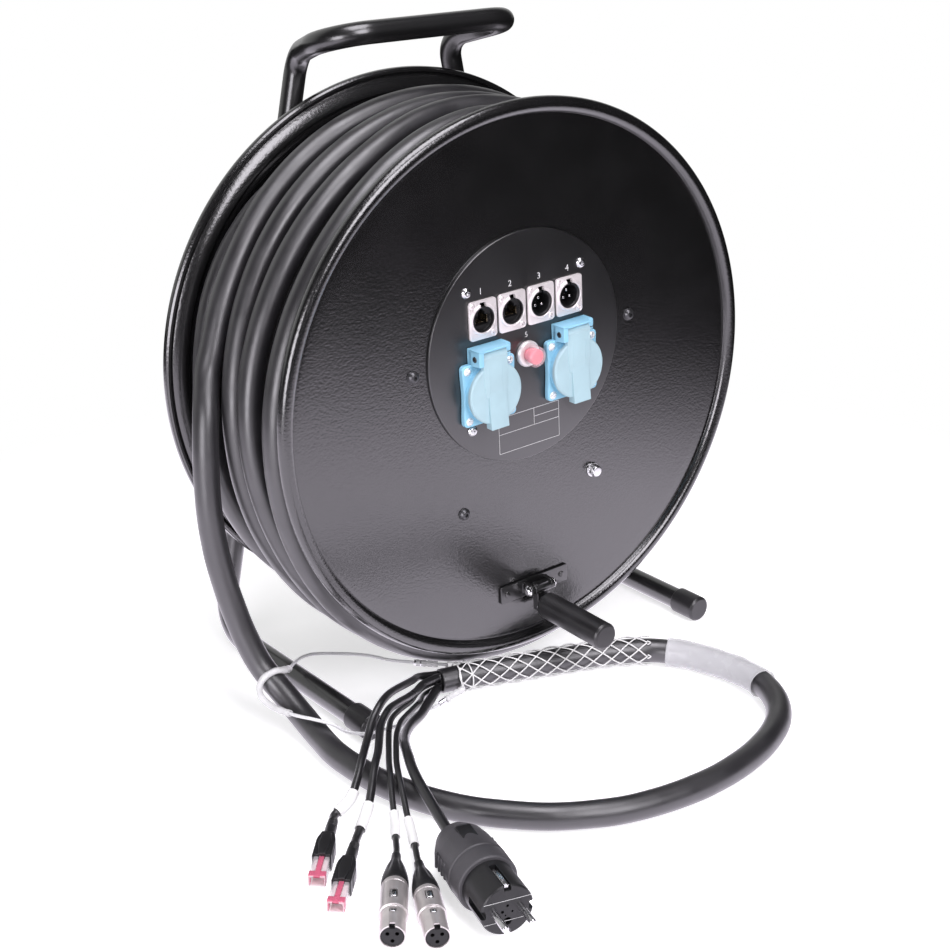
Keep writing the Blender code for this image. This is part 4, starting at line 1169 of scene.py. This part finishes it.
def data_insert(socket):
    body = turned([
        (0, 71), (10.3, 71), (10.3, 91.9, 0.4), (9.2, 91.9, 0.3), (9.2, 89.2, 0.3), (0, 89.2),
    ], 96)
    body = carve(
        body, block((11.6, 8.0, 30), (0, -1.0, 92)), block((6.4, 3.2, 30), (0, 4.2, 92)),
        block((3.4, 2.4, 30), (0, 6.6, 92)), block((5.0, 5.0, 8), (0, 10.4, 92)),
    )
    latch = blocks(
        ((4.4, 1.6, 3.4), (0, 9.3, 90.4), 0.4),
        *[((1.4, 3.4, 1.6), (s * 7.6, 0, 89.6), 0.3) for s in SIDES],
    )
    socket.add("insert", together(body, latch), DARK)
    contacts = [((0.5, 0.5, 8), (k * 1.02 - 3.57, -3.9, 82.5), 0.1) for k in range(8)]
    contacts += [((0.35, 5.5, 9), (s * 5.7, -1.2, 84), 0.1) for s in SIDES]
    socket.add("contacts", blocks(*contacts), BRASS)


def audio_insert(socket):
    body = turned([
        (0, 71), (10.3, 71), (10.3, 91.9, 0.4), (9.0, 91.9, 0.4), (8.3, 90.8, 0.4), (8.3, 76.7),
        (0, 76.7),
    ], 96)
    body = carve(body, block((4.4, 4.0, 14), (0, 9.6, 88), 0.4))
    latch = block((3.2, 1.6, 5.0), (0, 9.0, 88.5), 0.5)
    socket.add("insert", together(body, latch), DARK)
    pin = [(0, 76), (1.25, 76), (1.25, 88.6, 1.0), (0, 88.6)]
    pins = [moved(turned(pin, 24, 5), at(x, y, 0)) for x, y in polygon(3.8, 3, radians(-30))]
    socket.add("pins", together(*pins), CHROME)


def build_signal_socket(n, x):
    name = f"data_socket_{n}" if n < 3 else f"audio_socket_{n}"
    socket = Group(name, "drum", FRONT @ at(x, SIGNAL_W, 0))
    sink = [(0, 90.4), (1.5, 90.4), (3.0, 91.75), (3.0, 93), (0, 93)]
    plate = carve(
        prism(rounded_box(26, 31, 3.0), 89.7, 91.7, 0.35), rod(10.4, 80, 99, 72),
        block((5.4, 6, 12), (0.0, 10.6, 92), 0.4),
        *[moved(lathe(sink, 32), at(s * 9.5, s * -12, 0)) for s in SIDES],
    )
    ring = turned([
        (10.2, 90), (12.6, 90), (12.4, 91.8, 0.4), (11.6, 92.7, 0.6), (10.5, 92.9, 0.3),
        (10.2, 92.4, 0.2),
    ], 96, ring=True)
    ring = carve(ring, block((5.2, 6, 12), (0, 10.6, 92), 0.4))
    socket.add("plate", together(plate, ring), NICKEL, name)
    screws = [cross_head(2.7, 1.0, spun(s * 9.5, s * -12, 0.4 * n), 91.1) for s in SIDES]
    socket.add("screws", together(*screws), NICKEL, slot="zinc_steel")
    if n < 3:
        data_insert(socket)
    else:
        audio_insert(socket)


def build_breaker():
    body = turned([
        (0, 70), (7.2, 70), (7.2, 89.7), (10.5, 89.7), (10.5, 91.6, 0.4), (9.4, 92.9, 0.8),
        (7.6, 93.2, 0.4), (5.6, 93.2, 0.3), (5.6, 78), (0, 78),
    ], 96, 5)
    place = FRONT @ at(0, BREAKER_W, 0)
    piece("breaker_bezel", body, NICKEL, "drum", place, "breaker_body", slot="black_plastic")
    button = Group("breaker_button", "button", place @ at(0, 0, 96))
    boot = [(8.2, 0.2, 0.4), (8.45, 1.2, 0.8), (8.2, 6.6, 1.6), (6.4, 8.8, 1.4), (0, 8.85)]
    button.add("boot", turned(boot, 96, 6), BOOT)
    core = [(0, -12), (5.0, -12), (5.0, 0.4), (6.2, 0.5, 0.3), (6.2, 6.9, 1.0), (0, 7.1)]
    button.add("core", turned(core, 72, 6), RED, "breaker_button")


HINGE_RISE = 30.5
HINGE_OUT = 99.8


def waist(x, y, reach):
    """Moves a spot on the left or right edge inwards, most at half height."""
    if abs(x) > 23 and abs(y) < reach:
        x -= 0.9 * cos(pi * abs(y) / reach / 2) ** 2 * (1 if x > 0 else -1)
    return x, y


def waisted_plate():
    """The base of a mains socket, a little narrower at half its height."""
    outline = [waist(x, y, 22) for x, y in rounded_box(50, 50, 3.6, 8)]
    full = []
    for a, b in zip(outline, outline[1:] + outline[:1]):
        full.append(a)
        if hypot(b[0] - a[0], b[1] - a[1]) > 8:
            steps = [k / 12 for k in range(1, 12)]
            full += [waist(a[0] + (b[0] - a[0]) * f, a[1] + (b[1] - a[1]) * f, 21) for f in steps]
    return carve(prism(full, 89.7, 94.7, 0.9, 4), rod(20.4, 75, 120, 96))


def build_mains(side, x):
    name = f"mains_socket_{side}"
    socket = Group(name, "drum", FRONT @ at(x, MAINS_W, 0))
    cup = turned([
        (0, 72.2), (21.0, 72.2, 0.8), (21.0, 94.0), (22.8, 94.0), (22.8, 98.1, 0.6),
        (19.6, 98.1, 0.5), (19.6, 75.2, 0.8), (0, 75.2),
    ], 128)
    cup = carve(cup, *[rod(2.8, 70, 80, 24, s * 9.5) for s in SIDES])
    # Hood of the hinge: two cheeks, a roof and the block behind the barrel
    left = [(24.2, 92.0), (24.2, 98.4), (25.2, 105.4), (37.3, 105.4), (37.3, 92.0)]
    right = [(24.2, 92.0), (24.2, 97.4), (29.0, 101.2), (36.3, 101.6), (37.3, 100.6), (37.3, 92.0)]
    cheeks = [
        side_on(prism(view, -2.3, 2.3, 0.5), s * 14.2) for s, view in ((-1, left), (1, right))
    ]
    roof = block((28.4, 1.7, 13.4), (-2.3, 36.6, 98.7), 0.5)
    hinge = at(0, HINGE_RISE, HINGE_OUT)
    barrel_room = moved(rod(5.2, -11.9, 11.9, 40), hinge @ ALONG_X)
    behind = carve(block((33.0, 12.6, 5.4), (0, HINGE_RISE + 0.4, 92.5), 0.4), barrel_room)
    shell = together(waisted_plate(), cup, *cheeks, roof, behind)
    socket.add("shell", shell, BLUE, name, angle=28)
    pin = turned([
        (0, -17.2), (2.3, -17.2, 0.3), (2.3, -16.2), (1.55, -16.2), (1.55, 16.4), (0, 16.4),
    ], 32)
    pin = carve(pin, block((3.6, 0.8, 1.2), (0, 0, -17.2)))
    axis = socket.place @ hinge
    piece(f"{name}_hinge_pin", pin, DARK_STEEL, "drum", axis @ ALONG_X)
    corner = 20.2
    screws = [
        cross_head(3.3, 1.5, spun(px, py, 0.5 + px), 94.4)
        for px in (-corner, corner) for py in (-corner, corner)
    ]
    socket.add("screws", together(*screws), SCREW)
    clips = []
    for s in SIDES:
        clips += [((5.0, 0.8, 15), (0, s * 18.9, 84.5), 0.3), ((5.0, 1.8, 3.0), (0, s * 18.2, 91.0), 0.6)]
    socket.add("earth_clips", blocks(*clips), NICKEL)
    build_lid(side, axis)


def build_lid(side, axis):
    drop = -HINGE_RISE
    disc = turned([
        (0, -0.8), (23.9, -0.8, 0.3), (24.5, 0.2, 0.6), (24.5, 2.6, 0.6), (23.4, 3.6, 0.9), (0, 3.6),
    ], 128)
    disc = moved(disc, at(0, drop, 0))
    half = [(11.4, -1.0), (11.4, drop + 10), (9.6, drop - 2)]
    strip = prism([(-11.4, -1.0)] + half + [(-9.6, drop - 2), (-11.4, drop + 10)], 0.2, 4.15, 0.6)
    # The pull: a wedge that starts flush and stands proud at the lower edge
    wedge = [
        (drop + 8.0, 3.0), (drop + 8.0, 3.7), (drop - 27.6, 6.4), (drop - 27.6, -0.6),
        (drop - 23.0, -0.6), (drop - 22.0, 3.0),
    ]
    wedge = side_on(prism(wedge, -8.4, 8.4, 0.5), 0.6)
    barrel = [(2.0, -11.3), (4.4, -11.3, 0.4), (4.4, 11.3, 0.4), (2.0, 11.3)]
    barrel = moved(turned(barrel, 64, ring=True), ALONG_X)
    neck = block((22.6, 7.5, 3.0), (0, -2.6, 2.0), 0.5)
    ribs = [block((0.5, 26, 0.3), (dx, drop + 10, 4.15), 0.12) for dx in (-6.0, 6.0)]
    lid = together(disc, strip, wedge, barrel, neck, *ribs)
    name = f"socket_lid_{side}"
    piece(f"{name}_shell", lid, BLUE_LID, f"lid_{side}", axis, name, angle=28)


# Crank

CRANK_W = 52.6 - FLANGE_R
CRANK_UP = 97
KNOB_W = -13.3


def build_crank():
    w = CRANK_W
    plate = moved(prism(rounded_box(69, 15, 1.2), 87.3, 89.3, 0.35), at(0, w - 0.6, 0))
    arch = [(-4.9 * cos(pi * k / 10), CRANK_UP + 4.6 * sin(pi * k / 10)) for k in range(1, 10)]
    outline = [(-4.9, 88.6), (-4.9, CRANK_UP)] + arch + [(4.9, CRANK_UP), (4.9, 88.6)]
    ears = [side_on(prism(outline, -1.5, 1.5, 0.3), s * 10, w) for s in SIDES]
    welds = blocks(*[((1.6, 9.0, 1.2), (s * 12.2, w, 89.6), 0.5) for s in SIDES])
    rivet = [(0, 89), (2.6, 89), (2.4, 90.2, 0.8), (0, 90.5)]
    rivets = [moved(turned(rivet, 32), at(s * 28, w - 0.6, 0)) for s in SIDES]
    bracket = together(plate, *ears, welds, *rivets)
    piece("crank_bracket_plate", bracket, TUBE_PAINT, "drum", FRONT, "crank_bracket")
    pin = turned([
        (0, -15.2), (2.6, -14.8, 1.6), (3.6, -13.6, 0.8), (4.5, -12.4, 0.2), (4.5, -11.9, 0.2),
        (2.5, -11.9), (2.5, 11.9), (4.6, 11.9, 0.2), (4.6, 12.6, 0.2), (3.4, 12.7),
        (3.4, 14.2, 0.5), (0, 15.2),
    ], 48)
    pin = together(pin, prism(polygon(3.9, 6, 0.4), -14.0, -11.9, 0.3))
    axis = FRONT @ at(0, w, CRANK_UP)
    piece("crank_pin_fastener", pin, CHROME, "drum", axis @ ALONG_X, "crank_pin", slot="zinc_steel")

    view = [(4.8, -2.6), (4.8, 3.4), (-6.0, 4.0), (-19.5, 4.0), (-19.5, -3.0), (-4.0, -3.0)]
    arm = side_on(prism(view, -6.0, 6.0, 0.9))
    barrel = [(2.8, -8.1), (5.0, -8.1, 0.4), (5.0, 8.1, 0.4), (2.8, 8.1)]
    barrel = moved(turned(barrel, 64, ring=True), ALONG_X)
    spindle = turned([(0, 2), (4.0, 2), (4.0, 78.5, 0.6), (0, 78.5)], 40)
    collar = turned([(0, 3), (6.6, 3.6), (6.6, 6.4, 0.6), (0, 6.4)], 48)
    on_knob = moved(together(spindle, collar), at(0, KNOB_W, 0))
    block_and_pin = together(arm, barrel, on_knob)
    piece("crank_arm_block", block_and_pin, TUBE_PAINT, "crank", axis, "crank_arm")
    piece("crank_arm_screw", cross_head(2.0, 0.8, at(-4.6, -15.8, 0), 3.6), ZINC, "crank", axis)
    knob = turned([
        (4.4, 7.0), (9.2, 7.0, 0.8), (10.7, 9.0, 1.5), (11.0, 20, 6), (11.0, 79.6, 0.8),
        (10.0, 81.4, 1.1), (8.6, 82.0, 0.5), (0, 82.0),
    ], 128, 5)
    knob = together(knob, lathe([(4.4, 7.0), (4.4, 79.2), (0, 79.2)], 64))
    place = FRONT @ at(0, w + KNOB_W, CRANK_UP)
    piece("crank_knob_grip", knob, KNOB_BLACK, "knob", place, "crank_knob")


# Frame

FEET = {"right": 176.0, "left": -167.0}
FOOT_Y, FOOT_Z = -107.0, 10.8
POST_X, POST_Y, POST_LOW = 171.0, 115.6, 9.1
TOP_X, TOP_Z = 73.6, 487.2


def build_frame():
    way = bent([
        (FEET["right"], FOOT_Y, FOOT_Z), (POST_X, POST_Y, POST_LOW), (TOP_X, POST_Y, TOP_Z),
        (96.0, 36.0, 511.3), (-96.0, 36.0, 511.3), (-TOP_X, POST_Y, TOP_Z),
        (-POST_X, POST_Y, POST_LOW), (FEET["left"], FOOT_Y, FOOT_Z),
    ], [34.0, 23.1, 30.6, 30.6, 23.1, 34.0], 24)
    fine = []
    for a, b in zip(way, way[1:]):
        count = max(1, round((b - a).length / 8))
        fine += [a.lerp(b, k / count) for k in range(count)]
    tube = sweep(fine + way[-1:], 9.0, 64)
    piece("frame_tube_bent", tube, TUBE_PAINT, "frame", GROUND, "frame_tube", angle=40)

    for side, x in FEET.items():
        yaw = atan2(abs(abs(x) - POST_X), POST_Y - FOOT_Y)
        cap = turned([
            (0, 0), (9.0, 0, 0.6), (11.0, 1.6, 1.6), (11.0, 25.2, 0.6), (10.4, 26, 0.4), (9.5, 26),
            (9.5, 4), (0, 4),
        ], 96, 5)
        place = GROUND @ at(x, FOOT_Y - 4.3, FOOT_Z) @ Matrix.Rotation(yaw, 4, "Z") @ ALONG_Y
        under = moved(block((60, 60, 20)), place.inverted() @ GROUND @ at(x, -100, -10))
        name = f"foot_cap_{side}"
        piece(f"{name}_rubber", carve(cap, under), CAP_RUBBER, "frame", place, name)

    plate = carve(prism(rounded_box(238, 60, 8), 100.2, 106.2, 0.8), rod(10.3, 90, 120, 64))
    piece("bearing_plate_steel", plate, TUBE_PAINT, "frame", AXIS, "bearing_plate")
    welds = []
    for s in SIDES:
        for low in (-27, 27):
            # The posts lean inwards, so the seam follows them
            rise = (AXLE_Z + low - POST_LOW) / (TOP_Z - POST_LOW)
            x = s * (POST_X - (POST_X - TOP_X) * rise)
            welds.append(((10.0, 3.4, 2.4), (x - s * 6.0, -low, 106.0), 1.0))
    piece("bearing_plate_welds", blocks(*welds), TUBE_PAINT, "frame", AXIS)
    axle = turned([
        (0, 113), (9.6, 113, 0.8), (9.6, 112.4), (10.0, 106.5), (10.0, -30.4), (15, -30.4, 0.6),
        (15, -36, 0.8), (0, -36),
    ], 72)
    dome = turned([(0, 105), (17, 105), (17, 110.6), (14.0, 112.6, 0.3), (0, 112.6)], 64)
    nut = carve(prism(polygon(16.0, 6, 0.3), 106.5, 112.6), dome, kind="INTERSECT")
    piece("axle_shaft_turned", together(axle, nut), ZINC, "frame", AXIS, "axle_shaft")
    washer = turned([(18, 99.9, 0.4), (18, 92.4, 0.4), (10.3, 92.4), (10.3, 99.9)], 72, ring=True)
    piece("thrust_washer_turned", washer, ZINC, "frame", AXIS, "thrust_washer")


build_drum()
build_winding()
build_panel()
for number, spot in enumerate(SIGNAL_X, 1):
    build_signal_socket(number, spot)
build_breaker()
for hand, spot in MAINS_X.items():
    build_mains(hand, spot)
build_crank()
build_frame()


# Studio


class Stage:
    """Short ways to wire the table's material or the world."""

    def __init__(self, tree):
        self.tree = tree
        tree.nodes.clear()
        self.path = wire(tree, "ShaderNodeLightPath").outputs
        self.place = wire(tree, "ShaderNodeTexCoord").outputs

    def glow(self, kind, colour, strength=None):
        values = {"Color": (*colour, 1.0)}
        if strength:
            values["Strength"] = strength
        return wire(self.tree, kind, values).outputs[0]

    def mix(self, factor, a, b):
        return wire(self.tree, "ShaderNodeMixShader", {"Fac": factor, 1: a, 2: b}).outputs[0]

    def measure(self, coordinate, kind, vector):
        """How far a place is from a vector, or how far it lies along it."""
        values = {0: self.place[coordinate], 1: vector}
        return wire(self.tree, "ShaderNodeVectorMath", values, operation=kind).outputs["Value"]

    def fade(self, value, low, high):
        values = {"Value": value, "From Min": low, "From Max": high}
        soft = "SMOOTHSTEP"
        node = wire(self.tree, "ShaderNodeMapRange", values, interpolation_type=soft)
        return node.outputs["Result"]


def studio_floor():
    """A white table: shaded near the object, pure white further off."""
    bm = bmesh.new()
    bmesh.ops.create_circle(bm, cap_ends=True, segments=96, radius=6.0)
    mesh = bpy.data.meshes.new("floor")
    bm.to_mesh(mesh)
    bm.free()
    obj = new_object("floor", mesh)
    mat = bpy.data.materials.new("white_table")
    mat.use_nodes = True
    t = Stage(mat.node_tree)
    light = "ShaderNodeEmission"
    table = t.glow("ShaderNodeBsdfDiffuse", (0.92, 0.92, 0.925))
    lift = wire(t.tree, "ShaderNodeAddShader", {0: table, 1: t.glow(light, (1, 1, 1), 0.58)})
    far = t.fade(t.measure("Object", "DISTANCE", (-0.02, -0.06, 0)), 0.40, 0.75)
    seen = t.mix(far, lift.outputs[0], t.glow(light, (1, 1, 1), 1.0))
    # Away from the object, a glossy surface sees the unlit studio
    dark = t.glow(light, (0.012, 0.012, 0.012), 1.0)
    bright = t.glow(light, (1.0, 0.94, 1.06), 1.6)
    unlit = t.fade(t.measure("Object", "DISTANCE", (-0.35, -0.05, 0)), 0.70, 1.20)
    shader = t.mix(t.path["Is Glossy Ray"], table, t.mix(unlit, bright, dark))
    shader = t.mix(t.path["Is Camera Ray"], shader, seen)
    wire(t.tree, "ShaderNodeOutputMaterial", {"Surface": shader})
    obj.data.materials.append(mat)


def studio_world():
    """White behind the object, a dim room on the camera's side."""
    world = bpy.data.worlds.new("studio")
    bpy.context.scene.world = world
    world.use_nodes = True
    t = Stage(world.node_tree)
    light = "ShaderNodeBackground"
    white = t.glow(light, (1, 1, 1), 1.0)
    room = t.glow(light, (1, 1, 1), 0.34)
    dim = t.glow(light, (0.02, 0.02, 0.021), 1.0)
    backdrop = t.glow(light, (1, 1, 1), 0.6)
    behind = t.fade(t.measure("Generated", "DOT_PRODUCT", (0.0, 1.0, 0.0)), 0.25, 0.75)
    shader = t.mix(t.path["Is Glossy Ray"], room, t.mix(behind, dim, backdrop))
    rays = {0: t.path["Is Camera Ray"], 1: t.path["Is Transmission Ray"]}
    clear_view = wire(t.tree, "ShaderNodeMath", rays, operation="MAXIMUM").outputs[0]
    wire(t.tree, "ShaderNodeOutputWorld", {"Surface": t.mix(clear_view, shader, white)})


def lamp(name, place, aim, width, height, power):
    data = bpy.data.lights.new(name, "AREA")
    data.shape = "RECTANGLE"
    data.size = width
    data.size_y = height
    data.energy = power
    data.color = (1.0, 0.965, 1.03)
    obj = new_object(name, data)
    obj.location = place
    obj.rotation_euler = (Vector(aim) - Vector(place)).to_track_quat("-Z", "Y").to_euler()


studio_floor()
studio_world()
lamp("overhead_softbox", (-0.08, -0.42, 1.95), (0, -0.15, 0.3), 1.0, 1.1, 20)
lamp("front_softbox", (-0.15, -1.80, 1.35), (0, 0, 0.27), 1.0, 1.2, 25)
lamp("left_softbox", (-1.75, -0.95, 0.45), (-0.2, 0, 0.25), 0.9, 0.9, 17)

bpy.context.scene.view_settings.view_transform = "Standard"

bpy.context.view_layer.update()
